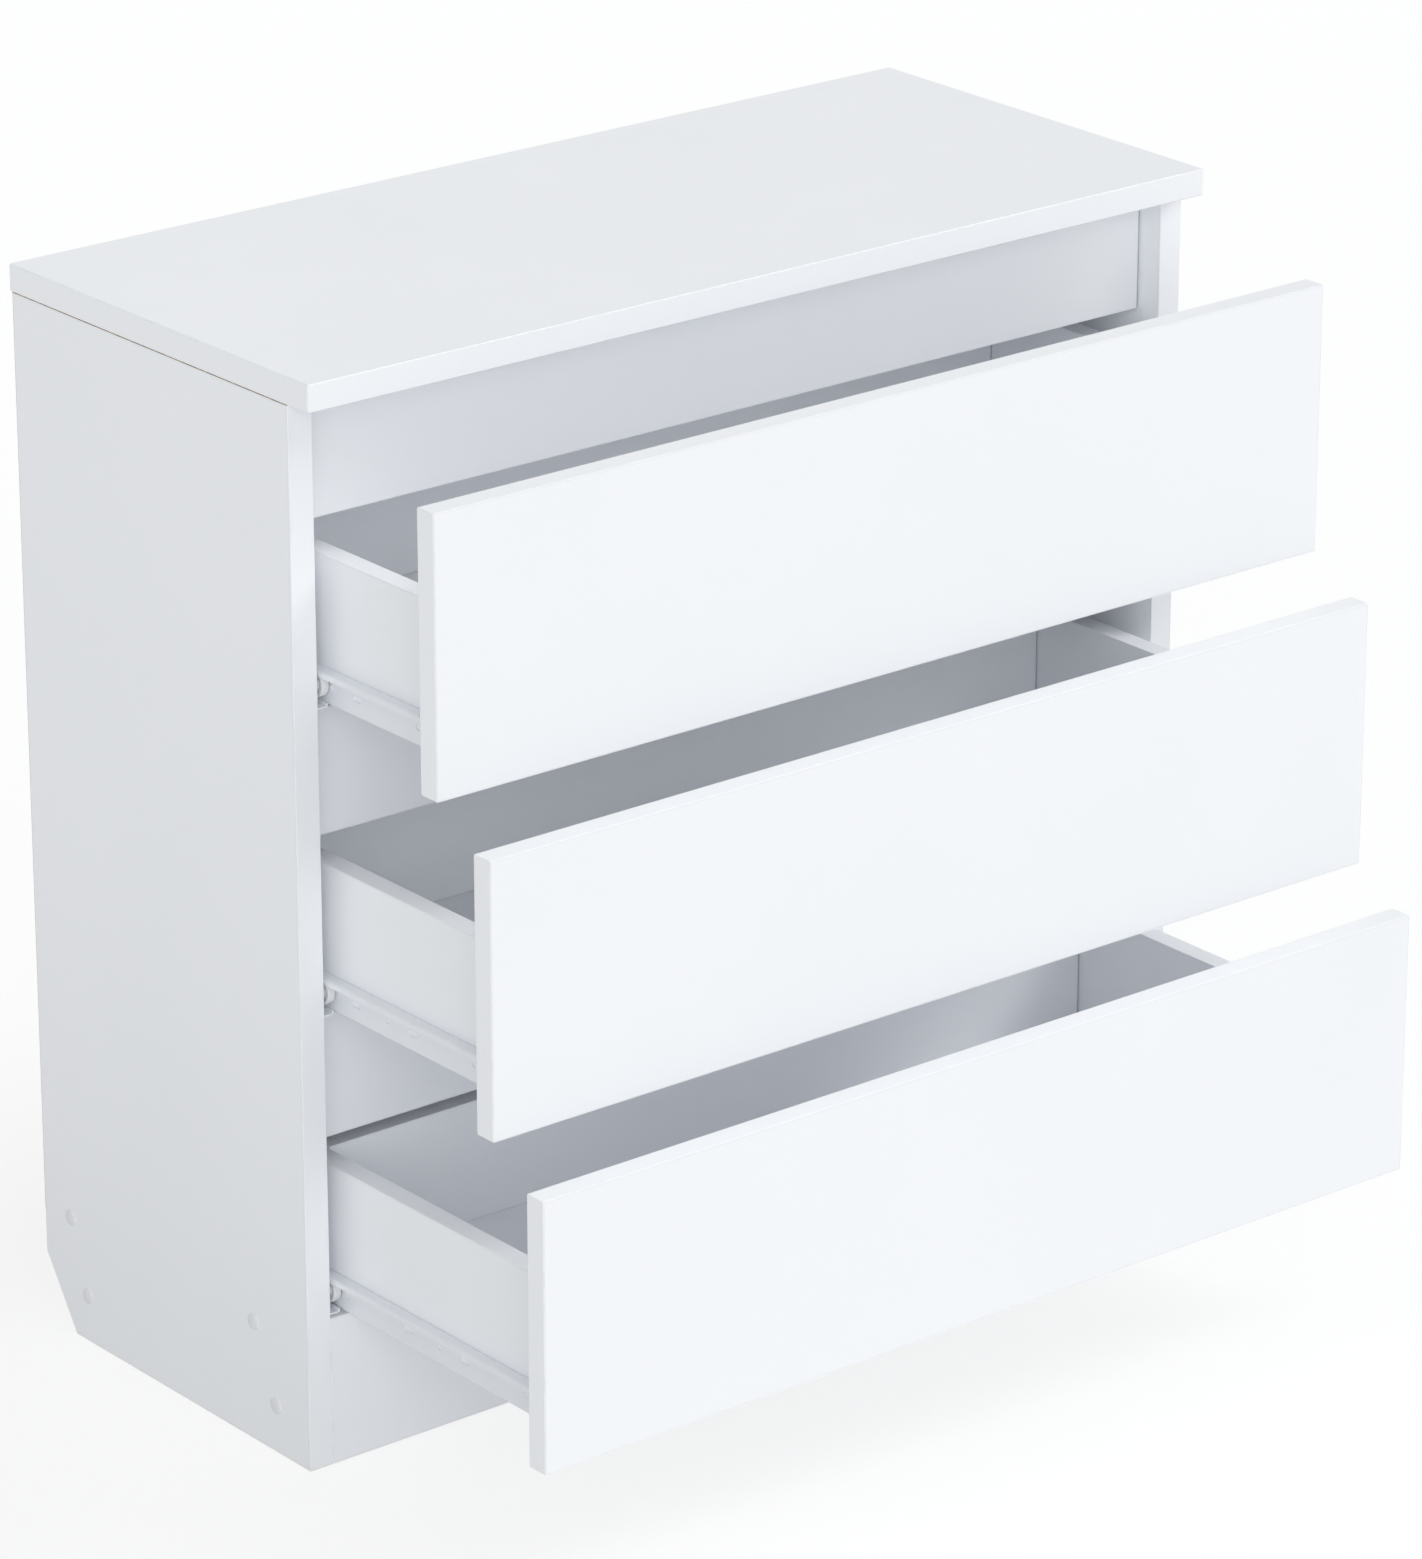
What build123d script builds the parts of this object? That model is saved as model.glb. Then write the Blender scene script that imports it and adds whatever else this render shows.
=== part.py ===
from build123d import *

import os

# A free-standing chest of three drawers in white laminated board, on epoxy-coated roller runners.
# All sizes are in millimetres. +X is to the right of a person who faces the fronts, +Y goes to the
# back and +Z is up. The origin is on the floor, at the middle of the plinth board's underside.
# The drawers are modelled standing open, each by its own amount.

# Overall sizes of the carcass
carcass_width = 800.0
carcass_depth = 350.0
carcass_height = 804.0

# Board thicknesses
outer_board = 20.0  # top and sides
front_board = 18.0  # drawer fronts
inner_board = 16.0  # rails, plinth, bottom, stretchers and drawer boxes
hardboard = 3.0  # back panel and drawer bottoms

# Carcass layout
top_overhang = 23.0  # top panel past the front edges of the sides
skirting_depth = 35.5  # cut at the rear foot of each side, which clears a skirting board
skirting_height = 54.0
plinth_height = 112.0
bottom_height = 84.0  # floor to the underside of the bottom panel
rail_height = 92.0
rail_setback = 22.0  # rails behind the front edges of the sides
stretcher_height = 74.0
front_stretcher_inset = 40.0  # its middle behind the front edges of the sides
rear_stretcher_inset = 16.5  # its middle in front of the skirting cut
back_side_inset = 2.0  # edge of the back panel inside the outer face of a side
back_foot_lift = 2.0  # lower edge of the back panel above the underside of the bottom panel

# Drawers
drawer_names = ("lower", "middle", "upper")
front_gap = 24.0  # finger gap between two fronts
top_gap = 35.0  # finger gap between the upper front and the top panel
plinth_overlap = 13.5  # lower front over the plinth board
front_side_inset = 3.5  # end of a front inside the outer face of the carcass
box_lift = 17.2  # lower edge of a drawer side above the lower edge of its front
rail_drop = 9.0  # top edge of a rail below the runners of the drawer above it
rail_gap = 17.6  # top edge of a drawer side to the rail above it
closing_gap = 1.5  # shut front to the front edges of the sides
box_tail = 2.0  # drawer box past the rear end of its runners
groove_lift = 10.0  # drawer bottom above the lower edge of a drawer side
groove_depth = 8.0
groove_play = 0.2
unused_travel = {"lower": 5.0, "middle": 58.5, "upper": 115.0}  # from each drawer to its open stop

# Roller runners, pressed from one thickness of sheet steel
runner_sheet = 1.2
runner_step = 50.0  # runners come in lengths of this step
runner_rear_room = 10.0
runner_lost_travel = 50.0  # runner length less its travel
runner_space = 13.0  # side of the carcass to side of the drawer
runner_front_gap = 2.0  # front end of a runner behind the board it starts at
box_flange = 14.0  # flange under the drawer side
box_lip = 3.0
box_lip_place = 2.6  # outer face of the lip from the side of the carcass
channel_gap = 2.2  # channel to the web of the drawer's runner
channel_drop = 1.8  # underside of the channel below the lower edge of the drawer side
channel_lip = 3.0
channel_open_front = 32.0  # the top flange stops short of the front roller
slot_length = 10.0
web_hole_radius = 2.2
web_hole_lift = 12.0
web_hole_places = (38.0, 134.0, 240.0)  # from the front end of the runner, as are the next ones
web_slot_places = (106.0, 170.0)
runner_screw_places = (37.0, 133.0, 229.0)
runner_screw_depth = 6.0  # from the outer face of a drawer side to the runner screws

# Rollers and the studs they turn on
roller_radius = 10.0
roller_play = 0.3  # roller to the flange it rolls on
roller_side_play = 0.4  # rear roller to the lips of the channel
roller_dish = 1.2
roller_rim = 2.4
hub_radius = 5.0
stud_radius = 2.0
stud_play = 0.06
stud_head_radius = 3.3
stud_head = 0.6
rear_roller_place = 2.2  # its face nearest to the side of the carcass
front_roller_gap = 0.6  # front roller to the lip of the drawer's runner
front_roller_lift = 4.3  # underside of the front roller above the lower edge of the drawer side
front_roller_inset = 11.0  # roller axis behind the front edges of the sides
rear_roller_inset = 12.0  # roller axis in front of the rear end of the drawer's runner

# Fasteners; threads are plain cylinders
fit_gap = 0.05  # round each fastener in its hole
confirmat_length = 50.0
confirmat_head_radius = 4.75
confirmat_head = 1.2
confirmat_taper = 1.25
confirmat_shank_radius = 3.5
confirmat_thread_radius = 3.2
confirmat_recess = 0.5
socket_radius = 2.1
socket_depth = 3.0
confirmat_inset = 65.0  # bottom panel's front screw behind the front edges of the sides
confirmat_rear_inset = 33.0  # bottom panel's rear screw in front of the rear edges
stretcher_screw_height = 36.0
box_screw_inset = 24.0  # screws of the drawer box from the edges of its sides
cap_radius = 6.0
cap_height = 1.5
cap_rim = 0.5
cap_crown_radius = 3.6  # flat middle of the cap, inside its sloping edge
cap_stem_radius = 1.95
cap_stem = 2.6
cam_radius = 7.45
cam_floor = 4.5  # cam housing past the axis of its bolt
cam_reach = 34.0  # cam axis from the end of its board
cam_slot = 1.4
cam_slot_length = 9.0
cam_slot_depth = 1.6
cam_cavity_radius = 3.8
cam_bolt_radius = 3.0
cam_bolt_neck_radius = 1.8
cam_bolt_head_radius = 3.3
cam_bolt_neck = 4.0
cam_bolt_head = 3.0
cam_bolt_thread = 11.0
top_fixing_inset = 60.0  # cams of the top panel from the edges of the sides
drawer_cam_clearance = 2.0  # lower cam of a drawer front to the drawer bottom
drawer_cam_inset = 15.0  # upper cam of a drawer front below the top edge of the side
dowel_radius = 4.0
dowel_length = 30.0
dowel_in_face = 12.0
dowel_chamfer = 1.0
dowel_offset = 32.0  # dowel from the cam beside it
small_screw_radius = 1.75
small_screw_head_radius = 3.4
small_screw_length = 15.0
nail_radius = 0.7
nail_length = 19.0
nail_head_radius = 2.0
nail_head = 0.6
side_nails = 6
bottom_nails = 6
nail_end_inset = 40.0

# Places that follow from the sizes above
side_front = -inner_board / 2
side_x = carcass_width / 2
inside_x = side_x - outer_board
top_front = side_front - top_overhang
top_back = top_front + carcass_depth
side_back = top_back - hardboard
top_underside = carcass_height - outer_board
skirting_start = side_back - skirting_depth
bottom_middle = bottom_height + inner_board / 2
front_stretcher_y = side_front + front_stretcher_inset
rear_stretcher_y = skirting_start - rear_stretcher_inset
rail_front = side_front + rail_setback
front_width = carcass_width - 2 * front_side_inset
first_front_foot = plinth_height - plinth_overlap
fronts_height = top_underside - top_gap - first_front_foot
front_height = (fronts_height - front_gap * (len(drawer_names) - 1)) / len(drawer_names)
drawer_pitch = front_height + front_gap
box_height = drawer_pitch - rail_height - rail_drop - runner_sheet - rail_gap
runner_room = side_back - side_front - runner_rear_room
runner_length = runner_step * (runner_room // runner_step)
travel = runner_length - runner_lost_travel
box_depth = runner_length + box_tail
box_x = inside_x - runner_space  # outer face of a drawer side
box_inside_x = box_x - inner_board
back_inside_y = box_depth - inner_board
shut_y = side_front - closing_gap  # back of a shut front
box_screw_heights = (box_screw_inset, box_height - box_screw_inset)
box_cam_heights = (
    groove_lift + hardboard + drawer_cam_clearance + cam_radius,
    box_height - drawer_cam_inset,
)
levels = {
    name: first_front_foot + box_lift + row * drawer_pitch
    for row, name in enumerate(drawer_names)
}  # lower edges of the drawer sides
openings = {name: travel - unused_travel[name] for name in drawer_names}


def block(x, y, z):
    """A box between two places on each axis."""
    middle = [(low + high) / 2 for low, high in (x, y, z)]
    return Pos(*middle) * Box(x[1] - x[0], y[1] - y[0], z[1] - z[0])


def turned(outline, place, direction):
    """A turned solid. The outline has (radius, height) corners, with height along the direction."""
    corners = [(radius, 0, height) for radius, height in outline]
    face = make_face(Polyline(*corners, close=True))
    return Plane(origin=place, z_dir=direction) * revolve(face, Axis.Z)


def both_sides(pieces):
    """The pieces of the left half and their mirror images in the right half."""
    return pieces + [mirror(piece, about=Plane.YZ) for piece in pieces]


def near(board, hole):
    """Whether the boxes round a board and a hole meet."""
    first, second = board.bounding_box(), hole.bounding_box()
    lows = zip(first.min, second.max)
    highs = zip(second.min, first.max)
    return all(low <= high for low, high in (*lows, *highs))


def drilled(board, holes):
    """The board with the holes that reach it."""
    tools = [hole for hole in holes if near(board, hole)]
    return board - tools if tools else board


# Outlines of the fasteners, from the outer face of the head inwards. gap widens them into holes.
def confirmat_outline(gap=0.0, board=outer_board, recess=confirmat_recess):
    """A screw through the face of a board into the end of another."""
    taper = (confirmat_head_radius - confirmat_shank_radius) * confirmat_taper
    mouth = -recess if gap else 0.0
    shank_end = board - recess
    return [
        (0, mouth),
        (confirmat_head_radius + gap, mouth),
        (confirmat_head_radius + gap, confirmat_head + gap),
        (confirmat_shank_radius + gap, confirmat_head + taper + gap),
        (confirmat_shank_radius + gap, shank_end),
        (confirmat_thread_radius + gap, shank_end),
        (confirmat_thread_radius + gap, confirmat_length + gap),
        (0, confirmat_length + gap),
    ]


def box_screw_outline(gap=0.0):
    """The same screw, flush in the side of a drawer."""
    return confirmat_outline(gap, inner_board, 0.0)


def small_screw_outline(gap=0.0):
    cone = small_screw_head_radius - small_screw_radius
    return [
        (0, 0),
        (small_screw_head_radius + gap, 0),
        (small_screw_radius + gap, cone),
        (small_screw_radius + gap, small_screw_length - small_screw_radius + gap),
        (0, small_screw_length + 2 * gap),
    ]


def dowel_outline(gap=0.0):
    radius = dowel_radius + gap
    return [
        (0, -gap),
        (radius - dowel_chamfer, -gap),
        (radius, dowel_chamfer - gap),
        (radius, dowel_length - dowel_chamfer + gap),
        (radius - dowel_chamfer, dowel_length + gap),
        (0, dowel_length + gap),
    ]


def nail_outline(gap=0.0):
    """A nail with its flat head driven level with the back panel."""
    return [
        (0, 0),
        (nail_head_radius + gap, 0),
        (nail_head_radius + gap, nail_head + gap),
        (nail_radius + gap, nail_head + gap),
        (nail_radius + gap, nail_length + gap),
        (0, nail_length + gap),
    ]


def cam_bolt_outline(gap=0.0):
    """From the tip of the thread, in the mating board, to the head at the cam's axis."""
    shaft_end = cam_bolt_thread + cam_reach - cam_bolt_neck - cam_bolt_head
    bolt_end = cam_bolt_thread + cam_reach
    if gap:
        return [
            (0, -gap),
            (cam_bolt_radius + gap, -gap),
            (cam_bolt_radius + gap, shaft_end),
            (cam_cavity_radius, shaft_end),
            (cam_cavity_radius, bolt_end),
            (0, bolt_end),
        ]
    return [
        (0, 0),
        (cam_bolt_radius, 0),
        (cam_bolt_radius, shaft_end),
        (cam_bolt_neck_radius, shaft_end),
        (cam_bolt_neck_radius, shaft_end + cam_bolt_neck),
        (cam_bolt_head_radius, shaft_end + cam_bolt_neck),
        (cam_bolt_head_radius, bolt_end),
        (0, bolt_end),
    ]


def fitted(outline, places):
    """Fasteners at (point, direction) places, and the holes they need."""
    pieces = [turned(outline(), point, direction) for point, direction in places]
    holes = [turned(outline(fit_gap), point, direction) for point, direction in places]
    return pieces, holes


def cam_fitting(face_point, into_board, to_mate, board):
    """A cam let into a board's face, with its bolt, and the holes for both."""
    face_point, into_board, to_mate = Vector(face_point), Vector(into_board), Vector(to_mate)
    cam_depth = board / 2 + cam_floor
    axis_point = face_point + into_board * (board / 2)
    tip = axis_point + to_mate * (cam_reach + cam_bolt_thread)
    bolt = turned(cam_bolt_outline(), tip, to_mate * -1)
    bolt_hole = turned(cam_bolt_outline(fit_gap), tip, to_mate * -1)
    housing = turned(
        [(0, 0), (cam_radius, 0), (cam_radius, cam_depth), (0, cam_depth)], face_point, into_board
    )
    slot = Plane(origin=face_point, z_dir=into_board) * Box(
        cam_slot_length, cam_slot, 2 * cam_slot_depth
    )
    cavity_start = axis_point + to_mate * (cam_radius + fit_gap)
    cavity_length = cam_radius + cam_bolt_head
    cavity = turned(
        [(0, 0), (cam_cavity_radius, 0), (cam_cavity_radius, cavity_length), (0, cavity_length)],
        cavity_start,
        to_mate * -1,
    )
    outer, floor = cam_radius + fit_gap, cam_depth + fit_gap
    housing_hole = turned([(0, 0), (outer, 0), (outer, floor), (0, floor)], face_point, into_board)
    return [housing - cavity - slot, bolt], [housing_hole, bolt_hole]


def cam_fittings(places, board):
    pieces, holes = [], []
    for face_point, into_board, to_mate in places:
        new_pieces, new_holes = cam_fitting(face_point, into_board, to_mate, board)
        pieces += new_pieces
        holes += new_holes
    return pieces, holes


def cover_cap(place, outward):
    """A shallow cap with a sloping edge, and a stem that plugs the screw's socket."""
    outline = [
        (0, -cap_stem),
        (cap_stem_radius, -cap_stem),
        (cap_stem_radius, 0),
        (cap_radius, 0),
        (cap_radius, cap_rim),
        (cap_crown_radius, cap_height),
        (0, cap_height),
    ]
    return turned(outline, place, outward)


# Boards of the carcass, before drilling
def top_board():
    return block((-side_x, side_x), (top_front, top_back), (top_underside, carcass_height))


def left_side_board():
    """The side has a sloping cut at its rear foot, for a skirting board."""
    outline = Polyline(
        (0, side_front, 0),
        (0, skirting_start, 0),
        (0, side_back, skirting_height),
        (0, side_back, top_underside),
        (0, side_front, top_underside),
        close=True,
    )
    return Pos(-side_x, 0, 0) * extrude(make_face(outline), amount=outer_board, dir=(1, 0, 0))


def cross_board(y, z):
    """A board between the two sides."""
    return block((-inside_x, inside_x), y, z)


def stretcher(middle_y):
    y = (middle_y - inner_board / 2, middle_y + inner_board / 2)
    return cross_board(y, (bottom_height - stretcher_height, bottom_height))


def back_board():
    x = side_x - back_side_inset
    return block((-x, x), (side_back, top_back), (bottom_height + back_foot_lift, top_underside))


def rail_tops():
    """Top edges of the upper, middle and lower rail."""
    under_drawers = [levels[name] - runner_sheet - rail_drop for name in ("upper", "middle")]
    return [top_underside, *under_drawers]


# Fasteners of the carcass
def carcass_cams(rail_middles):
    """Cams of the top panel in the sides, and of the rails and the plinth in their rear faces."""
    depths = (side_front + top_fixing_inset, side_back - top_fixing_inset)
    height = top_underside - cam_reach
    top_places = [((-inside_x, y, height), (-1, 0, 0), (0, 0, 1)) for y in depths]
    rear_faces = [(rail_front + inner_board, z) for z in rail_middles]
    rear_faces.append((side_front + inner_board, plinth_height / 2 + dowel_offset / 2))
    rail_places = [((-inside_x + cam_reach, y, z), (0, -1, 0), (-1, 0, 0)) for y, z in rear_faces]
    top_pieces, top_holes = cam_fittings(top_places, outer_board)
    rail_pieces, rail_holes = cam_fittings(rail_places, inner_board)
    return both_sides(top_pieces + rail_pieces), both_sides(top_holes + rail_holes)


def carcass_dowels(rail_middles):
    """A wooden dowel beside each cam."""
    board_middle_x = -side_x + outer_board / 2
    depths = (
        side_front + top_fixing_inset + dowel_offset,
        side_back - top_fixing_inset - dowel_offset,
    )
    places = [((board_middle_x, y, top_underside + dowel_in_face), (0, 0, -1)) for y in depths]
    rows = [(rail_front + inner_board / 2, z - dowel_offset) for z in rail_middles]
    rows.append((side_front + inner_board / 2, plinth_height / 2 - dowel_offset / 2))
    places += [((-inside_x - dowel_in_face, y, z), (1, 0, 0)) for y, z in rows]
    pieces, holes = fitted(dowel_outline, places)
    return both_sides(pieces), both_sides(holes)


def carcass_screws():
    """Screws through the sides into the bottom panel and the stretchers, with their cover caps."""
    rows = [
        (side_front + confirmat_inset, bottom_middle),
        (side_back - confirmat_rear_inset, bottom_middle),
        (front_stretcher_y, stretcher_screw_height),
        (rear_stretcher_y, stretcher_screw_height),
    ]
    places = [((-side_x + confirmat_recess, y, z), (1, 0, 0)) for y, z in rows]
    screws, holes = fitted(confirmat_outline, places)
    sockets = [
        turned([(0, 0), (socket_radius, 0), (socket_radius, socket_depth), (0, socket_depth)], *place)
        for place in places
    ]
    screws = [screw - socket for screw, socket in zip(screws, sockets)]
    caps = [cover_cap((-side_x, y, z), (-1, 0, 0)) for y, z in rows]
    return both_sides(screws), both_sides(holes), both_sides(caps)


def back_nails():
    """Nails through the back panel into the sides and the bottom panel."""
    low, high = skirting_height + nail_end_inset, top_underside - nail_end_inset
    step = (high - low) / (side_nails - 1)
    side_places = [(-side_x + outer_board / 2, low + row * step) for row in range(side_nails)]
    bottom_step = 2 * (inside_x - nail_end_inset) / (bottom_nails - 1)
    bottom_places = [
        (-inside_x + nail_end_inset + row * bottom_step, bottom_middle)
        for row in range(bottom_nails // 2)
    ]
    places = [((x, top_back, z), (0, -1, 0)) for x, z in side_places + bottom_places]
    pieces, holes = fitted(nail_outline, places)
    return both_sides(pieces), both_sides(holes)


# Runners and rollers, for a drawer whose sides have their lower edge at z = 0. Here x is measured
# from the inner face of the carcass's left side, and y from the front edges of the sides or from
# the back of the drawer's front.
front_roller_z = front_roller_lift + roller_radius
rear_roller_z = runner_sheet - channel_drop + roller_play + roller_radius
rear_roller_y = runner_length - rear_roller_inset
box_web_height = front_roller_z + roller_radius + roller_play + 2 * runner_sheet
channel_height = 2 * (roller_radius + roller_play + runner_sheet)
channel_width = runner_space - runner_sheet - channel_gap
roller_width = channel_width - runner_sheet - roller_side_play - rear_roller_place
front_roller_place = box_lip_place + runner_sheet + front_roller_gap


def stud(place, length, head_x):
    """The shouldered stud that a roller turns on, with its head."""
    y, z = place
    shaft = turned(
        [(0, 0), (stud_radius, 0), (stud_radius, length), (0, length)], (0, y, z), (1, 0, 0)
    )
    head = turned(
        [(0, 0), (stud_head_radius, 0), (stud_head_radius, stud_head), (0, stud_head)],
        (head_x, y, z),
        (1, 0, 0),
    )
    return shaft, head


def cabinet_runner():
    """The channel on the carcass, with the stud of the front roller at its open front end."""
    y = (runner_front_gap, runner_front_gap + runner_length)
    low, high = -channel_drop, channel_height - channel_drop
    covered = (y[0] + channel_open_front, y[1])
    web = block((0, runner_sheet), y, (low, high))
    floor = block((0, channel_width), y, (low, low + runner_sheet))
    floor_lip = block((channel_width - runner_sheet, channel_width), y, (low, low + channel_lip))
    roof = block((0, channel_width), covered, (high - runner_sheet, high))
    roof_lip = block((channel_width - runner_sheet, channel_width), covered, (high - channel_lip, high))
    place = (front_roller_inset, front_roller_z)
    head_x = front_roller_place + roller_width + stud_play
    shaft, head = stud(place, head_x + stud_head, head_x)
    return web + floor + floor_lip + roof + roof_lip + shaft + head


def drawer_runner():
    """The member under a drawer side, with the flange that rolls on the front roller."""
    y = (runner_front_gap, runner_length)
    web_x = runner_space - runner_sheet
    top = box_web_height - runner_sheet
    foot = block((web_x, runner_space + box_flange), y, (-runner_sheet, 0))
    web = block((web_x, runner_space), y, (-runner_sheet, top))
    flange = block((box_lip_place, runner_space), y, (top - runner_sheet, top))
    lip = block((box_lip_place, box_lip_place + runner_sheet), y, (top - runner_sheet - box_lip, top))
    head_x = rear_roller_place - stud_play - stud_head
    shaft, head = stud((rear_roller_y, rear_roller_z), web_x, head_x)
    shaft = shaft & block((head_x, runner_space), (0, runner_length), (0, top))
    holes = [
        turned(
            [(0, 0), (web_hole_radius, 0), (web_hole_radius, runner_space), (0, runner_space)],
            (0, runner_front_gap + place, web_hole_lift),
            (1, 0, 0),
        )
        for place in web_hole_places
        if place < runner_length - rear_roller_inset
    ]
    slots = [
        block(
            (0, runner_space),
            (runner_front_gap + place - slot_length / 2, runner_front_gap + place + slot_length / 2),
            (web_hole_lift - web_hole_radius, web_hole_lift + web_hole_radius),
        )
        for place in web_slot_places
    ]
    web = web - holes - slots
    return foot + web + flange + lip + shaft + head


def roller(x, y, z):
    """A nylon roller with dished faces, between x and x + roller_width."""
    bore = stud_radius + stud_play
    rim = roller_radius - roller_rim
    outline = [
        (bore, 0),
        (hub_radius, 0),
        (hub_radius, roller_dish),
        (rim, roller_dish),
        (rim, 0),
        (roller_radius, 0),
        (roller_radius, roller_width),
        (rim, roller_width),
        (rim, roller_width - roller_dish),
        (hub_radius, roller_width - roller_dish),
        (hub_radius, roller_width),
        (bore, roller_width),
    ]
    return turned(outline, (x, y, z), (1, 0, 0))


def channel_screws():
    """Screws through the web of the cabinet runner into the side."""
    places = [
        ((runner_sheet, runner_front_gap + place, rear_roller_z), (-1, 0, 0))
        for place in runner_screw_places
        if place < runner_length
    ]
    return fitted(small_screw_outline, places)


def box_runner_screws():
    """Screws up through the foot of the drawer runner into the drawer side."""
    places = [
        ((runner_space + runner_screw_depth, runner_front_gap + place, -runner_sheet), (0, 0, 1))
        for place in runner_screw_places
        if place < runner_length
    ]
    return fitted(small_screw_outline, places)


# Drawer, with the lower edges of its sides at z = 0 and the back of its front at y = 0
def drawer_cams():
    places = [((-box_inside_x, cam_reach, z), (-1, 0, 0), (0, -1, 0)) for z in box_cam_heights]
    return cam_fittings(places, inner_board)


def drawer_box_screws():
    middle_y = back_inside_y + inner_board / 2
    places = [((-box_x, middle_y, z), (1, 0, 0)) for z in box_screw_heights]
    return fitted(box_screw_outline, places)


def drawer_groove():
    """Room for the drawer bottom in the sides, the back and the front."""
    x = box_inside_x + groove_depth
    y = (-groove_depth, back_inside_y + groove_depth)
    return block((-x, x), y, (groove_lift, groove_lift + hardboard + groove_play))


def drawer_pieces():
    cams, cam_holes = drawer_cams()
    box_screws, box_screw_holes = drawer_box_screws()
    foot_screws, foot_holes = box_runner_screws()
    to_box = Pos(-inside_x, 0, 0)
    foot_screws = [to_box * screw for screw in foot_screws]
    foot_holes = [to_box * hole for hole in foot_holes]
    holes = both_sides(cam_holes + box_screw_holes + foot_holes) + [drawer_groove()]
    front_foot = -box_lift
    front = block(
        (-front_width / 2, front_width / 2), (-front_board, 0), (front_foot, front_foot + front_height)
    )
    left_side = block((-box_x, -box_inside_x), (0, box_depth), (0, box_height))
    back = block((-box_inside_x, box_inside_x), (back_inside_y, box_depth), (0, box_height))
    bottom_x = box_inside_x + groove_depth - groove_play
    bottom = block(
        (-bottom_x, bottom_x),
        (-groove_depth + groove_play, back_inside_y + groove_depth - groove_play),
        (groove_lift + groove_play / 2, groove_lift + groove_play / 2 + hardboard),
    )
    left_side = drilled(left_side, holes)
    left_runner = drilled(to_box * drawer_runner(), foot_holes)
    rear_roller = to_box * roller(rear_roller_place, rear_roller_y, rear_roller_z)
    return {
        "drawer_front": drilled(front, holes),
        "drawer_left_side": left_side,
        "drawer_right_side": mirror(left_side, about=Plane.YZ),
        "drawer_back": drilled(back, holes),
        "drawer_bottom": bottom,
        "drawer_left_runner": left_runner,
        "drawer_right_runner": mirror(left_runner, about=Plane.YZ),
        "drawer_cam_fittings": Compound(both_sides(cams)),
        "drawer_box_screws": Compound(both_sides(box_screws)),
        "drawer_runner_screws": Compound(both_sides(foot_screws)),
        "rear_rollers": Compound(both_sides([rear_roller])),
    }


# The whole chest, one file for each sub-part
os.makedirs("parts", exist_ok=True)


def save(name, shape):
    export_step(shape, f"parts/{name}.step")


rail_ends = rail_tops()
rail_middles = [top - rail_height / 2 for top in rail_ends]
cams, cam_holes = carcass_cams(rail_middles)
dowels, dowel_holes = carcass_dowels(rail_middles)
screws, screw_holes, caps = carcass_screws()
nails, nail_holes = back_nails()
runner_screws, runner_screw_holes = channel_screws()

level_places = {name: Pos(-inside_x, side_front, level) for name, level in levels.items()}
all_runner_screws = [place * screw for place in level_places.values() for screw in runner_screws]
all_runner_holes = [place * hole for place in level_places.values() for hole in runner_screw_holes]
holes = cam_holes + dowel_holes + screw_holes + nail_holes + all_runner_holes

left_side = drilled(left_side_board(), holes)
save("top_panel", drilled(top_board(), holes))
save("left_side", left_side)
save("right_side", mirror(left_side, about=Plane.YZ))
bottom_y = (side_front + inner_board, side_back)
save("bottom_panel", drilled(cross_board(bottom_y, (bottom_height, bottom_height + inner_board)), holes))
plinth_y = (side_front, side_front + inner_board)
save("plinth_board", drilled(cross_board(plinth_y, (0, plinth_height)), holes))
save("front_stretcher", drilled(stretcher(front_stretcher_y), holes))
save("rear_stretcher", drilled(stretcher(rear_stretcher_y), holes))
rail_y = (rail_front, rail_front + inner_board)
for name, top in zip(("upper_rail", "middle_rail", "lower_rail"), rail_ends):
    save(name, drilled(cross_board(rail_y, (top - rail_height, top)), holes))
save("back_panel", drilled(back_board(), holes))
save("carcass_screws", Compound(screws))
save("cover_caps", Compound(caps))
save("carcass_cam_fittings", Compound(cams))
save("carcass_dowels", Compound(dowels))
save("cabinet_runner_screws", Compound(both_sides(all_runner_screws)))
save("back_nails", Compound(nails))

left_channel = drilled(cabinet_runner(), runner_screw_holes)
front_roller = roller(front_roller_place, front_roller_inset, front_roller_z)
drawer = drawer_pieces()
for name, level in levels.items():
    place = level_places[name]
    channel = place * left_channel
    save(f"{name}_left_cabinet_runner", channel)
    save(f"{name}_right_cabinet_runner", mirror(channel, about=Plane.YZ))
    save(f"{name}_front_rollers", Compound(both_sides([place * front_roller])))
    open_place = Pos(0, shut_y - openings[name], level)
    for piece_name, piece in drawer.items():
        save(f"{name}_{piece_name}", open_place * piece)
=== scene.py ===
import math
import bmesh
import bpy
from mathutils import Matrix, Vector


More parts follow.
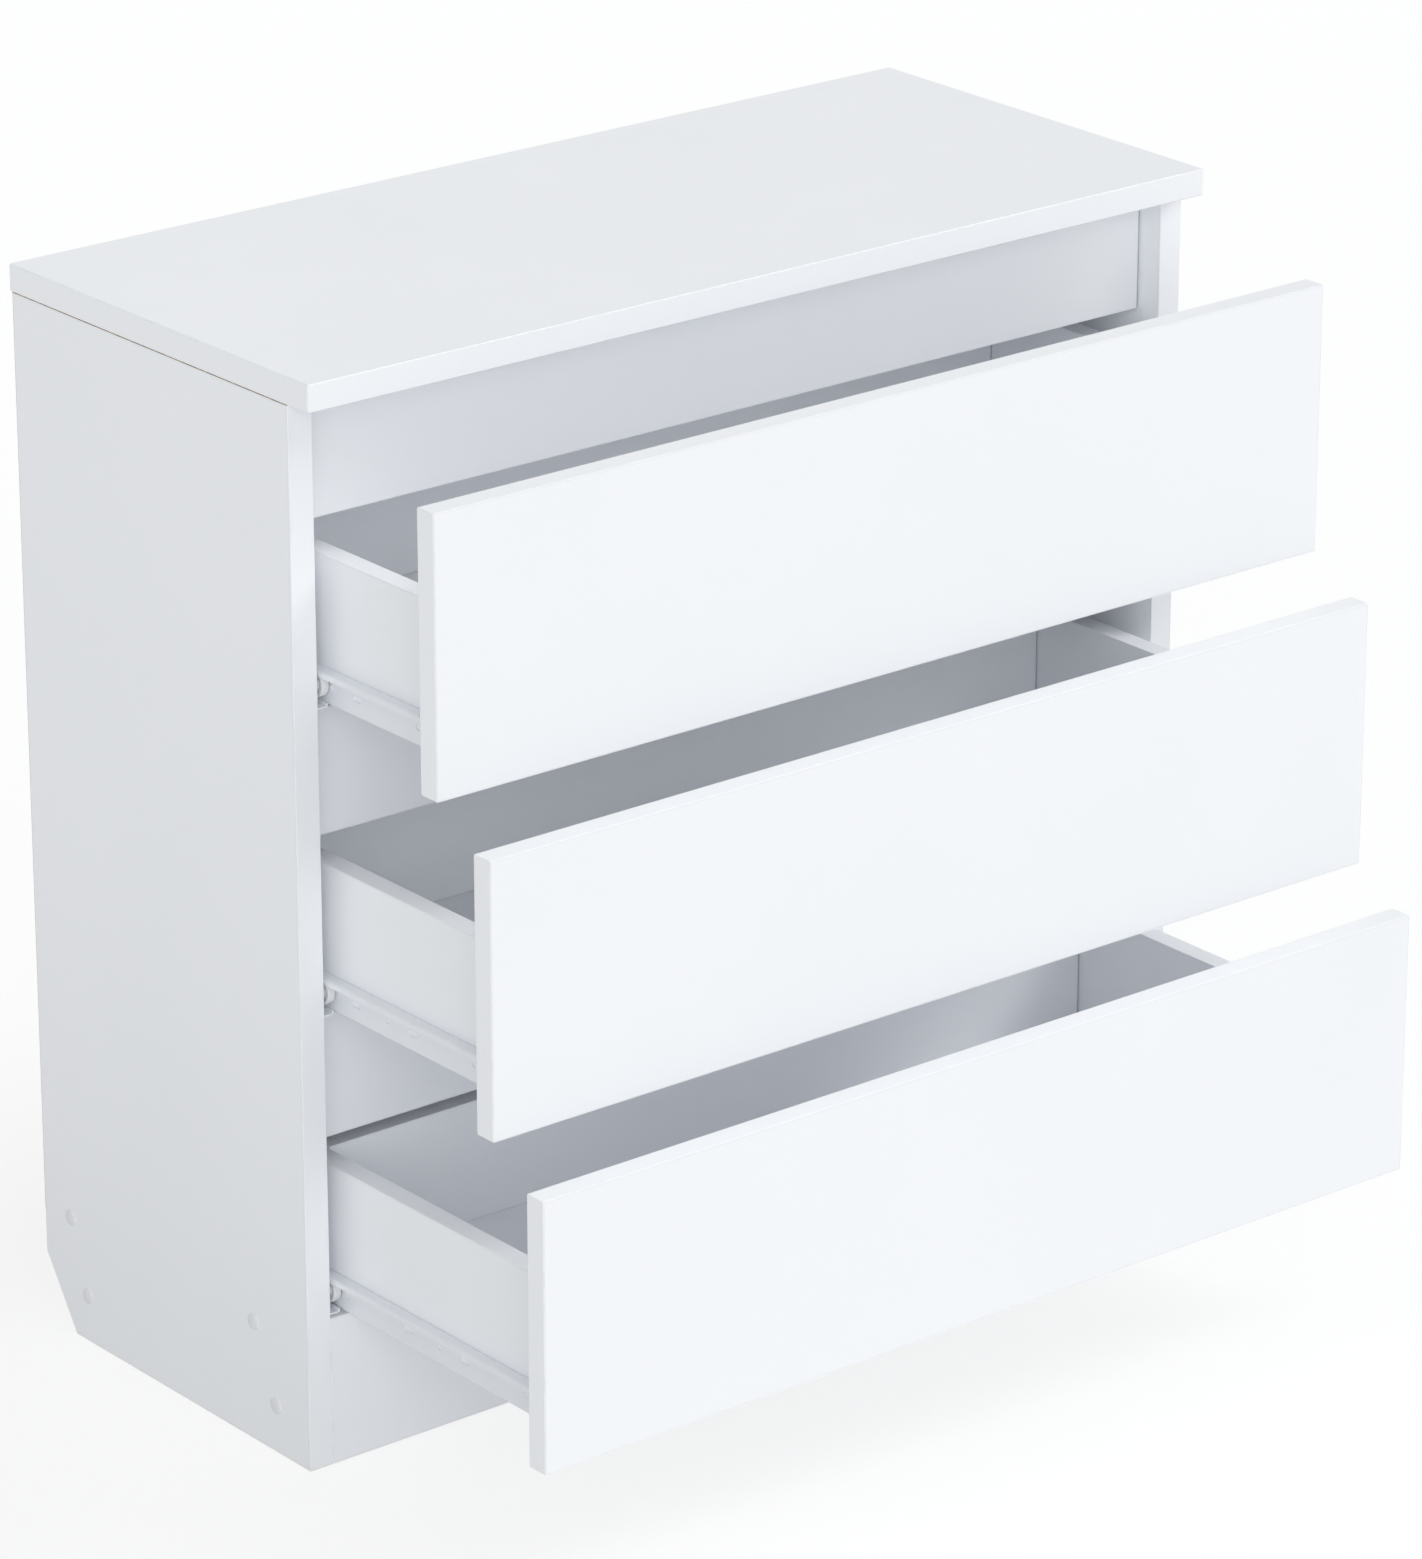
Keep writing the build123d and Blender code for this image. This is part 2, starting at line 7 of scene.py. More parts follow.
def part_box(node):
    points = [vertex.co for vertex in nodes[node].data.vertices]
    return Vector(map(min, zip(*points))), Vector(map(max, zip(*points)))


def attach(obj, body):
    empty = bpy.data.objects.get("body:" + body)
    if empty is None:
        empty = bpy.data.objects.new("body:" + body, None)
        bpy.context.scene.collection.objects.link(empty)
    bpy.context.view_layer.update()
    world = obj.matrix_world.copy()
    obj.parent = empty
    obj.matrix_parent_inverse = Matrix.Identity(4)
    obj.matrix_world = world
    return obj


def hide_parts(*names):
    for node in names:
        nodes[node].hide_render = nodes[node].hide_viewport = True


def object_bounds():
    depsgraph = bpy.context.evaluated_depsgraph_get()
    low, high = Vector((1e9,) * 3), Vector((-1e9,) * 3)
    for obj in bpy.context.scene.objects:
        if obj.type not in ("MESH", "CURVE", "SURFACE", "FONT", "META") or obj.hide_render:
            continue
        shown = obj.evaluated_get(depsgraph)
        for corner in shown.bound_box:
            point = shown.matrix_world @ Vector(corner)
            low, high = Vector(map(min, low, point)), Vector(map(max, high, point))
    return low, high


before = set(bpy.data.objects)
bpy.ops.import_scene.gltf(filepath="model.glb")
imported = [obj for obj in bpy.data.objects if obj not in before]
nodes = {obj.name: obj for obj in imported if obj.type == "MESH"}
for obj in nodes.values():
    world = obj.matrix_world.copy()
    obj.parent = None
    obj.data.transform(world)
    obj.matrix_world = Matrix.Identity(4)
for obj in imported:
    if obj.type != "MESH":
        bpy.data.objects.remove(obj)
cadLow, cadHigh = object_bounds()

drawerNames = ("lower", "middle", "upper")
sides = ("left", "right")
scene = bpy.context.scene


# ---------- shader helpers

def addNode(tree, kind, name="", **settings):
    node = tree.nodes.new(kind)
    node.label = name
    for key, value in settings.items():
        setattr(node, key, value)
    return node


def plug(tree, socket, value):
    # a socket is linked, anything else is a plain value
    if isinstance(value, bpy.types.NodeSocket):
        tree.links.new(value, socket)
    else:
        socket.default_value = value


def calc(tree, operation, first, second=0.0):
    node = addNode(tree, "ShaderNodeMath", operation=operation)
    plug(tree, node.inputs[0], first)
    plug(tree, node.inputs[1], second)
    return node.outputs[0]


def calcVector(tree, operation, first, second=(0, 0, 0)):
    node = addNode(tree, "ShaderNodeVectorMath", operation=operation)
    plug(tree, node.inputs[0], first)
    plug(tree, node.inputs[1], second)
    return node.outputs["Value" if operation == "DOT_PRODUCT" else "Vector"]


def split(tree, vector):
    node = addNode(tree, "ShaderNodeSeparateXYZ")
    plug(tree, node.inputs[0], vector)
    return list(node.outputs)


def remap(tree, value, fromLow, fromHigh, toLow=0.0, toHigh=1.0, smooth=False):
    node = addNode(tree, "ShaderNodeMapRange", interpolation_type="SMOOTHSTEP" if smooth else "LINEAR")
    for socket, setting in zip(node.inputs[:5], (value, fromLow, fromHigh, toLow, toHigh)):
        plug(tree, socket, setting)
    return node.outputs["Result"]


def noise(tree, vector, scale, detail=3.0, roughness=0.5, distortion=0.0):
    node = addNode(tree, "ShaderNodeTexNoise")
    for key, value in (("Vector", vector), ("Scale", scale), ("Detail", detail),
                       ("Roughness", roughness), ("Distortion", distortion)):
        plug(tree, node.inputs[key], value)
    return node.outputs["Fac"]


def mixColour(tree, share, first, second):
    node = addNode(tree, "ShaderNodeMix", data_type="RGBA")
    plug(tree, node.inputs["Factor"], share)
    plug(tree, node.inputs[6], first)
    plug(tree, node.inputs[7], second)
    return node.outputs[2]


def mixNumber(tree, share, first, second):
    node = addNode(tree, "ShaderNodeMix", data_type="FLOAT")
    for index, value in ((0, share), (2, first), (3, second)):
        plug(tree, node.inputs[index], value)
    return node.outputs[0]


def total(tree, *values):
    result = values[0]
    for value in values[1:]:
        result = calc(tree, "ADD", result, value)
    return result


def product(tree, *values):
    result = values[0]
    for value in values[1:]:
        result = calc(tree, "MULTIPLY", result, value)
    return result


def newGroup(name, inputs, outputs, kind="ShaderNodeTree"):
    # an input's socket follows its default value: none for geometry, three numbers for a vector, or one number
    group = bpy.data.node_groups.new(name, kind)
    for socketName, value in inputs.items():
        form = "Geometry" if value is None else "Vector" if isinstance(value, tuple) else "Float"
        socket = group.interface.new_socket(name=socketName, in_out="INPUT", socket_type="NodeSocket" + form)
        if value is not None:
            socket.default_value = value
    for socketName in outputs:
        form = {"Colour": "Color", "Geometry": "Geometry"}.get(socketName, "Float")
        group.interface.new_socket(name=socketName, in_out="OUTPUT", socket_type="NodeSocket" + form)
    return group, addNode(group, "NodeGroupInput").outputs, addNode(group, "NodeGroupOutput").inputs


def makeEdgeRub():
    # soft wear where a surface turns away from all three axes, broken up by noise
    group, given, result = newGroup(
        "edgeRub",
        {"Point": (0, 0, 0), "Facing": (0, 0, 1), "Scale": 60.0, "Amount": 0.5},
        ["Rub"],
    )
    facing = calcVector(group, "ABSOLUTE", given["Facing"])
    x, y, z = split(group, facing)
    flat = calc(group, "MAXIMUM", calc(group, "MAXIMUM", x, y), z)
    edge = remap(group, flat, 0.995, 0.86, smooth=True)
    patches = noise(group, given["Point"], given["Scale"], 5.0, 0.65)
    broken = remap(group, patches, 0.46, 0.68, smooth=True)
    rub = product(group, edge, broken, given["Amount"])
    plug(group, result["Rub"], rub)
    return group


def makeLaminateSkin():
    # fine pearl grain of the laminate, cloudy tone and a few handling marks
    group, given, result = newGroup(
        "laminateSkin",
        {"Point": (0, 0, 0), "Grain Scale": 1400.0, "Cloud Scale": 5.0},
        ["Height", "Tone", "Gloss"],
    )
    point = given["Point"]
    grain = noise(group, point, given["Grain Scale"], 2.0, 0.6)
    pearl = noise(group, point, calc(group, "MULTIPLY", given["Grain Scale"], 0.22), 3.0, 0.5)
    height = total(group, product(group, grain, 0.6), product(group, pearl, 0.4))
    cloud = noise(group, point, given["Cloud Scale"], 3.0, 0.55)
    tone = remap(group, cloud, 0.3, 0.7)
    smears = noise(group, calcVector(group, "MULTIPLY", point, (1.0, 1.0, 0.35)), 26.0, 4.0, 0.6, 0.4)
    gloss = total(group, product(group, remap(group, smears, 0.35, 0.7), 0.7), product(group, grain, 0.3))
    plug(group, result["Height"], height)
    plug(group, result["Tone"], tone)
    plug(group, result["Gloss"], gloss)
    return group


def makeBoardFaces():
    # where a board shows its edge band, the seam beside it, or its raw core
    group, given, result = newGroup(
        "boardFaces",
        {"Point": (0, 0, 0), "Facing": (0, 0, 1), "Low": (0, 0, 0), "High": (1, 1, 1), "Thin": (0, 0, 1),
         "Raw Low": (0, 0, 0), "Raw High": (0, 0, 0), "Band": 0.0010, "Seam": 0.00025},
        ["Band", "Seam", "Raw"],
    )
    facing = given["Facing"]
    turned = calcVector(group, "ABSOLUTE", facing)
    broad = remap(group, calcVector(group, "DOT_PRODUCT", turned, given["Thin"]), 0.6, 0.8)
    point = given["Point"]
    fromLow = calcVector(group, "SUBTRACT", point, given["Low"])
    fromHigh = calcVector(group, "SUBTRACT", given["High"], point)
    inset = calcVector(group, "MINIMUM", fromLow, fromHigh)
    clear = calcVector(group, "ADD", inset, given["Thin"])  # the thin axis never counts
    x, y, z = split(group, clear)
    nearest = calc(group, "MINIMUM", calc(group, "MINIMUM", x, y), z)
    off = calc(group, "ABSOLUTE", calc(group, "SUBTRACT", nearest, given["Band"]))
    line = remap(group, off, 0.0, given["Seam"], 1.0, 0.0, smooth=True)
    plug(group, result["Seam"], product(group, line, broad))
    plug(group, result["Band"], calc(group, "SUBTRACT", 1.0, broad))
    rawHigh = calcVector(group, "DOT_PRODUCT", facing, given["Raw High"])
    rawLow = calcVector(group, "DOT_PRODUCT", facing, given["Raw Low"])
    raw = calc(group, "MAXIMUM", rawHigh, product(group, rawLow, -1.0))
    plug(group, result["Raw"], remap(group, raw, 0.55, 0.7))
    return group


def makeChipCore():
    # pressed wood flakes, with dark gaps between them
    group, given, result = newGroup(
        "chipCore",
        {"Point": (0, 0, 0), "Chip Scale": 420.0},
        ["Colour", "Height"],
    )
    point = calcVector(group, "MULTIPLY", given["Point"], (0.55, 0.55, 1.0))
    chips = addNode(group, "ShaderNodeTexVoronoi", feature="F1")
    plug(group, chips.inputs["Vector"], point)
    plug(group, chips.inputs["Scale"], given["Chip Scale"])
    shade = split(group, chips.outputs["Color"])[0]
    ramp = addNode(group, "ShaderNodeValToRGB")
    plug(group, ramp.inputs["Fac"], shade)
    stops = ramp.color_ramp.elements
    stops[0].color = (0.20, 0.125, 0.065, 1)
    stops[1].color = (0.62, 0.46, 0.28, 1)
    middle = stops.new(0.45)
    middle.color = (0.44, 0.30, 0.165, 1)
    gaps = remap(group, chips.outputs["Distance"], 0.35, 0.75, smooth=True)
    toned = mixColour(group, product(group, gaps, 0.55), ramp.outputs["Color"], (0.12, 0.075, 0.04, 1))
    plug(group, result["Colour"], toned)
    plug(group, result["Height"], calc(group, "SUBTRACT", 1.0, gaps))
    return group


def makeFibreFace():
    # the brown rear face of hardboard, with the wire mesh it was pressed on
    group, given, result = newGroup(
        "fibreFace",
        {"Point": (0, 0, 0), "Mesh Pitch": 0.0018},
        ["Colour", "Height"],
    )
    point = given["Point"]
    x, y, z = split(group, point)
    turns = calc(group, "DIVIDE", 2 * math.pi, given["Mesh Pitch"])
    weave = total(group, *[calc(group, "SINE", product(group, axis, turns)) for axis in (x, y, z)])
    fibres = noise(group, calcVector(group, "MULTIPLY", point, (1.0, 1.0, 0.3)), 900.0, 4.0, 0.7)
    blotch = noise(group, point, 14.0, 4.0, 0.6)
    tone = total(group, product(group, fibres, 0.84), product(group, blotch, 0.16))
    brown = mixColour(group, remap(group, tone, 0.33, 0.67), (0.20, 0.117, 0.063, 1), (0.37, 0.235, 0.138, 1))
    plug(group, result["Colour"], brown)
    plug(group, result["Height"], total(group, product(group, weave, 0.2), fibres))
    return group


edgeRub = makeEdgeRub()
laminateSkin = makeLaminateSkin()
boardFaces = makeBoardFaces()
chipCore = makeChipCore()
fibreFace = makeFibreFace()
print("shared effects made")


# ---------- finishes

def newFinish(name):
    material = bpy.data.materials.new(name)
    material.use_nodes = True
    tree = material.node_tree
    tree.nodes.clear()
    shader = addNode(tree, "ShaderNodeBsdfPrincipled")
    output = addNode(tree, "ShaderNodeOutputMaterial")
    tree.links.new(shader.outputs[0], output.inputs["Surface"])
    spot = addNode(tree, "ShaderNodeTexCoord")
    return material, tree, shader.inputs, spot.outputs["Object"], spot.outputs["Normal"]


def place(tree, group, **values):
    node = addNode(tree, "ShaderNodeGroup", group.name)
    node.node_tree = group
    for key, value in values.items():
        plug(tree, node.inputs[key.replace("_", " ")], value)
    return node.outputs


def raiseSurface(tree, shader, height, depth=1.0):
    bump = addNode(tree, "ShaderNodeBump")
    bump.inputs["Strength"].default_value = 1.0
    bump.inputs["Distance"].default_value = depth
    plug(tree, bump.inputs["Height"], height)
    tree.links.new(bump.outputs["Normal"], shader["Normal"])


boardLook = {
    "face": (0.936, 0.946, 0.966, 1), "faceCloud": (0.923, 0.934, 0.955, 1),
    "band": (0.939, 0.949, 0.968, 1), "seam": (0.70, 0.71, 0.735, 1), "rubbed": (0.70, 0.69, 0.67, 1),
    # the joint entries paint a shadow line at a board's ends, darkest within jointDark of the end
    "joint": (0.16, 0.165, 0.18, 1), "jointShade": 0.7, "jointDark": 0.0009, "jointClear": 0.0018,
    "roughLow": 0.33, "roughHigh": 0.43, "rawRough": 0.9, "rubRough": 0.2, "specular": 0.42,
    "seamShare": 0.55, "rubScale": 45.0, "rubAmount": 0.35,
    "grainDepth": 0.00002, "chipDepth": 0.0004, "seamDepth": 0.00004,
}


def laminateFinish(node, thin, rawLow=(0, 0, 0), rawHigh=(0, 0, 0), paintedJointShadow=False):
    # white laminate, with the edge bands, seams and raw edges of one board, and where asked a painted shadow line
    # at its ends
    look = boardLook
    low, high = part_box(node)
    material, tree, shader, point, facing = newFinish("laminate." + node)
    faces = place(tree, boardFaces, Point=point, Facing=facing, Low=low, High=high, Thin=thin,
                  Raw_Low=rawLow, Raw_High=rawHigh)
    skin = place(tree, laminateSkin, Point=point)
    rub = place(tree, edgeRub, Point=point, Facing=facing, Scale=look["rubScale"], Amount=look["rubAmount"])
    core = place(tree, chipCore, Point=point)
    base = mixColour(tree, skin["Tone"], look["face"], look["faceCloud"])
    base = mixColour(tree, faces["Band"], base, look["band"])
    base = mixColour(tree, product(tree, faces["Seam"], look["seamShare"]), base, look["seam"])
    base = mixColour(tree, rub["Rub"], base, look["rubbed"])
    if paintedJointShadow:  # painted shade: a dark shadow line where the board's ends meet the boards beside it
        along = split(tree, point)[0]
        fromLow, fromHigh = calc(tree, "SUBTRACT", along, low.x), calc(tree, "SUBTRACT", high.x, along)
        nearest = calc(tree, "MINIMUM", fromLow, fromHigh)
        line = remap(tree, nearest, look["jointDark"], look["jointClear"], look["jointShade"], 0.0)
        onFace = calc(tree, "SUBTRACT", 1.0, faces["Band"])
        base = mixColour(tree, product(tree, line, onFace), base, look["joint"])
    plug(tree, shader["Base Color"], mixColour(tree, faces["Raw"], base, core["Colour"]))
    sheen = remap(tree, skin["Gloss"], 0.2, 0.8, look["roughLow"], look["roughHigh"])
    sheen = total(tree, sheen, product(tree, rub["Rub"], look["rubRough"]))
    plug(tree, shader["Roughness"], mixNumber(tree, faces["Raw"], sheen, look["rawRough"]))
    skinHeight = product(tree, skin["Height"], look["grainDepth"])
    seamHeight = product(tree, faces["Seam"], -look["seamDepth"])
    rawHeight = product(tree, core["Height"], look["chipDepth"], faces["Raw"])
    raiseSurface(tree, shader, total(tree, skinHeight, seamHeight, rawHeight))
    shader["Specular IOR Level"].default_value = look["specular"]
    return material


hardboardLook = {
    "lacquer": (0.905, 0.916, 0.937, 1), "lacquerCloud": (0.892, 0.904, 0.926, 1),
    "roughLow": 0.38, "roughHigh": 0.5, "brownRough": 0.88, "grainDepth": 0.00002, "fibreDepth": 0.00018,
    "grainScale": 900.0, "cloudScale": 7.0,
}


def hardboardFinish(node, goodSide, bothGood=False):
    # lacquered white on its good face, brown and fibrous along its edges and perhaps behind
    look = hardboardLook
    material, tree, shader, point, facing = newFinish("hardboard." + node)
    skin = place(tree, laminateSkin, Point=point, Grain_Scale=look["grainScale"], Cloud_Scale=look["cloudScale"])
    fibre = place(tree, fibreFace, Point=point)
    toGood = calcVector(tree, "DOT_PRODUCT", facing, goodSide)
    if bothGood:
        toGood = calc(tree, "ABSOLUTE", toGood)
    good = remap(tree, toGood, 0.65, 0.75)
    lacquer = mixColour(tree, skin["Tone"], look["lacquer"], look["lacquerCloud"])
    plug(tree, shader["Base Color"], mixColour(tree, good, fibre["Colour"], lacquer))
    sheen = remap(tree, skin["Gloss"], 0.2, 0.8, look["roughLow"], look["roughHigh"])
    plug(tree, shader["Roughness"], mixNumber(tree, good, look["brownRough"], sheen))
    brown = calc(tree, "SUBTRACT", 1.0, good)
    smoothSide = product(tree, skin["Height"], look["grainDepth"], good)
    roughSide = product(tree, fibre["Height"], look["fibreDepth"], brown)
    raiseSurface(tree, shader, total(tree, smoothSide, roughSide))
    return material


steelLook = {
    "tone": (0.865, 0.884, 0.917, 1), "cloud": (0.85, 0.870, 0.905, 1), "rubbed": (0.70, 0.705, 0.72, 1),
    "cloudScale": 30.0, "peelScale": 520.0, "rubScale": 140.0, "rubAmount": 0.12,
    "roughLow": 0.34, "roughHigh": 0.38, "peelDepth": 0.000005,
}


def coatedSteelFinish():
    # white epoxy powder coat, with its orange peel and bright rubbed bends
    look = steelLook
    material, tree, shader, point, facing = newFinish("epoxyCoatedSteel")
    peel = noise(tree, point, look["peelScale"], 2.0, 0.5)
    cloud = noise(tree, point, look["cloudScale"], 3.0, 0.6)
    rub = place(tree, edgeRub, Point=point, Facing=facing, Scale=look["rubScale"], Amount=look["rubAmount"])
    base = mixColour(tree, remap(tree, cloud, 0.3, 0.7), look["tone"], look["cloud"])
    plug(tree, shader["Base Color"], mixColour(tree, rub["Rub"], base, look["rubbed"]))
    plug(tree, shader["Roughness"], remap(tree, peel, 0.3, 0.7, look["roughLow"], look["roughHigh"]))
    raiseSurface(tree, shader, peel, look["peelDepth"])
    return material


plasticLooks = {
    "whiteNylon": {"tone": (0.86, 0.865, 0.87, 1), "cloud": (0.81, 0.815, 0.82, 1), "rough": 0.4},
    "whiteCapPlastic": {"tone": (0.85, 0.858, 0.88, 1), "cloud": (0.82, 0.828, 0.85, 1), "rough": 0.36},
}


def plasticFinish(name):
    # moulded plastic, a little cloudy, with a fine moulded grain
    look = plasticLooks[name]
    material, tree, shader, point, facing = newFinish(name)
    cloud = noise(tree, point, 220.0, 3.0, 0.55)
    grain = noise(tree, point, 2600.0, 2.0, 0.6)
    rub = place(tree, edgeRub, Point=point, Facing=facing, Scale=300.0, Amount=0.3)
    tone = mixColour(tree, remap(tree, cloud, 0.3, 0.7), look["tone"], look["cloud"])
    plug(tree, shader["Base Color"], mixColour(tree, rub["Rub"], tone, (0.62, 0.61, 0.58, 1)))
    rough = remap(tree, grain, 0.3, 0.7, look["rough"] - 0.05, look["rough"] + 0.07)
    plug(tree, shader["Roughness"], rough)
    raiseSurface(tree, shader, grain, 0.00001)
    return material


zincLook = {
    "blue": (0.66, 0.68, 0.70, 1), "straw": (0.70, 0.67, 0.58, 1), "rubbed": (0.82, 0.82, 0.80, 1),
    "roughLow": 0.26, "roughHigh": 0.44, "spangleDepth": 0.000012,
}


def zincFinish():
    # bright zinc plate, faintly blue and straw coloured
    look = zincLook
    material, tree, shader, point, facing = newFinish("zincPlate")
    tint = noise(tree, point, 90.0, 4.0, 0.6)
    spangle = noise(tree, point, 1500.0, 3.0, 0.6)
    rub = place(tree, edgeRub, Point=point, Facing=facing, Scale=400.0, Amount=0.6)
    base = mixColour(tree, remap(tree, tint, 0.35, 0.65), look["blue"], look["straw"])
    plug(tree, shader["Base Color"], mixColour(tree, rub["Rub"], base, look["rubbed"]))
    shader["Metallic"].default_value = 1.0
    plug(tree, shader["Roughness"], remap(tree, spangle, 0.3, 0.7, look["roughLow"], look["roughHigh"]))
    raiseSurface(tree, shader, spangle, look["spangleDepth"])
    return material


beechLook = {
    "pale": (0.60, 0.42, 0.25, 1), "warm": (0.70, 0.52, 0.34, 1), "pore": (0.36, 0.22, 0.12, 1),
    "roughLow": 0.6, "roughHigh": 0.75, "poreDepth": 0.00006,
}


def beechFinish():
    # pale beech with short pores
    look = beechLook
    material, tree, shader, point = newFinish("beechWood")[:4]
    pores = noise(tree, calcVector(tree, "MULTIPLY", point, (1.0, 1.0, 0.12)), 1800.0, 3.0, 0.6)
    grain = noise(tree, point, 160.0, 4.0, 0.6, 0.6)
    base = mixColour(tree, remap(tree, grain, 0.3, 0.7), look["pale"], look["warm"])
    dark = remap(tree, pores, 0.55, 0.72, smooth=True)
    plug(tree, shader["Base Color"], mixColour(tree, dark, base, look["pore"]))
    plug(tree, shader["Roughness"], remap(tree, pores, 0.3, 0.7, look["roughLow"], look["roughHigh"]))
    raiseSurface(tree, shader, pores, look["poreDepth"])
    return material


epoxySteel = coatedSteelFinish()
whiteNylon = plasticFinish("whiteNylon")
whiteCapPlastic = plasticFinish("whiteCapPlastic")
zincPlate = zincFinish()
beechWood = beechFinish()


# ---------- CAD nodes that stay, with their outline edges rounded

weldReach = 0.000002
sharpAngle = 0.6


def above(tree, value, limit):
    node = addNode(tree, "FunctionNodeCompare", data_type="FLOAT", operation="GREATER_THAN")
    plug(tree, node.inputs[0], value)
    plug(tree, node.inputs[1], limit)
    return node.outputs[0]


def makeOutlineWeights():
    # joins the faces of a node again and marks its long sharp edges for rounding
    group, given, result = newGroup(
        "outlineWeights", {"Geometry": None, "Shortest Edge": 0.0}, ["Geometry"], "GeometryNodeTree"
    )
    merged = addNode(group, "GeometryNodeMergeByDistance")
    merged.inputs["Distance"].default_value = weldReach
    plain = addNode(group, "GeometryNodeRemoveAttribute")
    plain.inputs["Name"].default_value = "custom_normal"
    angle = addNode(group, "GeometryNodeInputMeshEdgeAngle")
    sharp = above(group, angle.outputs["Unsigned Angle"], sharpAngle)
    ends = addNode(group, "GeometryNodeInputMeshEdgeVertices")
    span = addNode(group, "ShaderNodeVectorMath", operation="DISTANCE")
    plug(group, span.inputs[0], ends.outputs["Position 1"])
    plug(group, span.inputs[1], ends.outputs["Position 2"])
    outline = addNode(group, "FunctionNodeBooleanMath", operation="AND")
    plug(group, outline.inputs[0], sharp)
    plug(group, outline.inputs[1], above(group, span.outputs["Value"], given["Shortest Edge"]))
    smoothFaces = addNode(group, "GeometryNodeSetShadeSmooth", domain="FACE")
    crisp = addNode(group, "GeometryNodeSetShadeSmooth", domain="EDGE")
    crisp.inputs["Shade Smooth"].default_value = False
    plug(group, crisp.inputs["Selection"], sharp)
    weights = addNode(group, "GeometryNodeStoreNamedAttribute", data_type="FLOAT", domain="EDGE")
    weights.inputs["Name"].default_value = "bevel_weight_edge"
    plug(group, weights.inputs["Value"], outline.outputs[0])
    geometry = given["Geometry"]
    for node in (merged, plain, smoothFaces, crisp, weights):
        plug(group, node.inputs["Geometry"], geometry)
        geometry = node.outputs["Geometry"]
    plug(group, result["Geometry"], geometry)
    return group


outlineWeights = makeOutlineWeights()


def roundOutline(node, radius, shortestEdge=0.01, segments=3):
    marks = nodes[node].modifiers.new("outlineWeights", "NODES")
    marks.node_group = outlineWeights
    marks["Socket_1"] = shortestEdge
    rounding = nodes[node].modifiers.new("roundedEdges", "BEVEL")
    rounding.limit_method = "WEIGHT"
    rounding.width = radius
    rounding.segments = segments
    rounding.harden_normals = True
    rounding.use_clamp_overlap = False


def finishNode(node, material):
    for materialSlot in nodes[node].material_slots:
        materialSlot.material = material


x, y, z = (1, 0, 0), (0, 1, 0), (0, 0, 1)
carcassBoards = {
    "top_panel": {"thin": z, "radius": 0.0010},
    "left_side": {"thin": x, "rawLow": z, "rawHigh": (0, 1, 1)},
    "right_side": {"thin": x, "rawLow": z, "rawHigh": (0, 1, 1)},
    "bottom_panel": {"thin": z, "rawHigh": y},
    "plinth_board": {"thin": y, "rawLow": z},
    "front_stretcher": {"thin": y, "rawLow": z},
    "rear_stretcher": {"thin": y, "rawLow": z},
    # the rails get a painted shadow line at their ends
    "upper_rail": {"thin": y, "paintedJointShadow": True},
    "middle_rail": {"thin": y, "paintedJointShadow": True},
    "lower_rail": {"thin": y, "paintedJointShadow": True},
}
drawerBoards = {
    "front": {"thin": y, "radius": 0.0010},
    "left_side": {"thin": x, "rawLow": z, "rawHigh": y},
    "right_side": {"thin": x, "rawLow": z, "rawHigh": y},
    # the drawer backs get a painted shadow line at their ends
    "back": {"thin": y, "rawLow": z, "paintedJointShadow": True},
}
boards = dict(carcassBoards)
for name in drawerNames:
    boards.update({f"{name}_drawer_{piece}": facts for piece, facts in drawerBoards.items()})
for node, facts in boards.items():
    shown = {key: value for key, value in facts.items() if key != "radius"}
    finishNode(node, laminateFinish(node, **shown))
    roundOutline(node, facts.get("radius", 0.0007))
finishNode("back_panel", hardboardFinish("back_panel", (0, -1, 0)))
roundOutline("back_panel", 0.0003, segments=2)
for name in drawerNames:
    node = f"{name}_drawer_bottom"
    finishNode(node, hardboardFinish(node, z, bothGood=True))
    roundOutline(node, 0.0003, segments=2)
print("boards finished")


# ---------- mesh helpers for the hardware

def solidsIn(node):
    # lowest and highest corner of every separate solid in a node
    shell = bmesh.new()
    shell.from_mesh(nodes[node].data)
    bmesh.ops.remove_doubles(shell, verts=shell.verts, dist=weldReach)
    boxes, seen = [], set()
    for first in shell.verts:
        if first in seen:
            continue
        seen.add(first)
        solid = [first]
        for vert in solid:
            for edge in vert.link_edges:
                other = edge.other_vert(vert)
                if other not in seen:
                    seen.add(other)
                    solid.append(other)
        corners = [Vector([pick(vert.co[axis] for vert in solid) for axis in range(3)]) for pick in (min, max)]
        boxes.append(tuple(corners))
    shell.free()
    return boxes


def eased(outline, radius, closed=False, steps=4):
    # takes the sharp corners off an outline
    result = []
    for index, corner in enumerate(outline):
        if not closed and index in (0, len(outline) - 1):
            result.append(tuple(corner))
            continue
        corner = Vector(corner)
        before = Vector(outline[index - 1]) - corner
        after = Vector(outline[(index + 1) % len(outline)]) - corner
        reach = min(radius, before.length * 0.45, after.length * 0.45)
        start, end = corner + before.normalized() * reach, corner + after.normalized() * reach
        for step in range(steps + 1):
            share = step / steps
            point = start * (1 - share) ** 2 + corner * (2 * share * (1 - share)) + end * share ** 2
            result.append(tuple(point))
    return result


def standAt(origin, along, across=None):
    # a place whose Z runs along one direction, with X as near as can be to another
    along = Vector(along).normalized()
    if across is None:
        across = Vector((0, 0, 1)) if abs(along.z) < 0.9 else Vector((1, 0, 0))
    across = (Vector(across) - along * Vector(across).dot(along)).normalized()
    sideways = along.cross(across)
    return Matrix.Translation(origin) @ Matrix((across, sideways, along)).transposed().to_4x4()


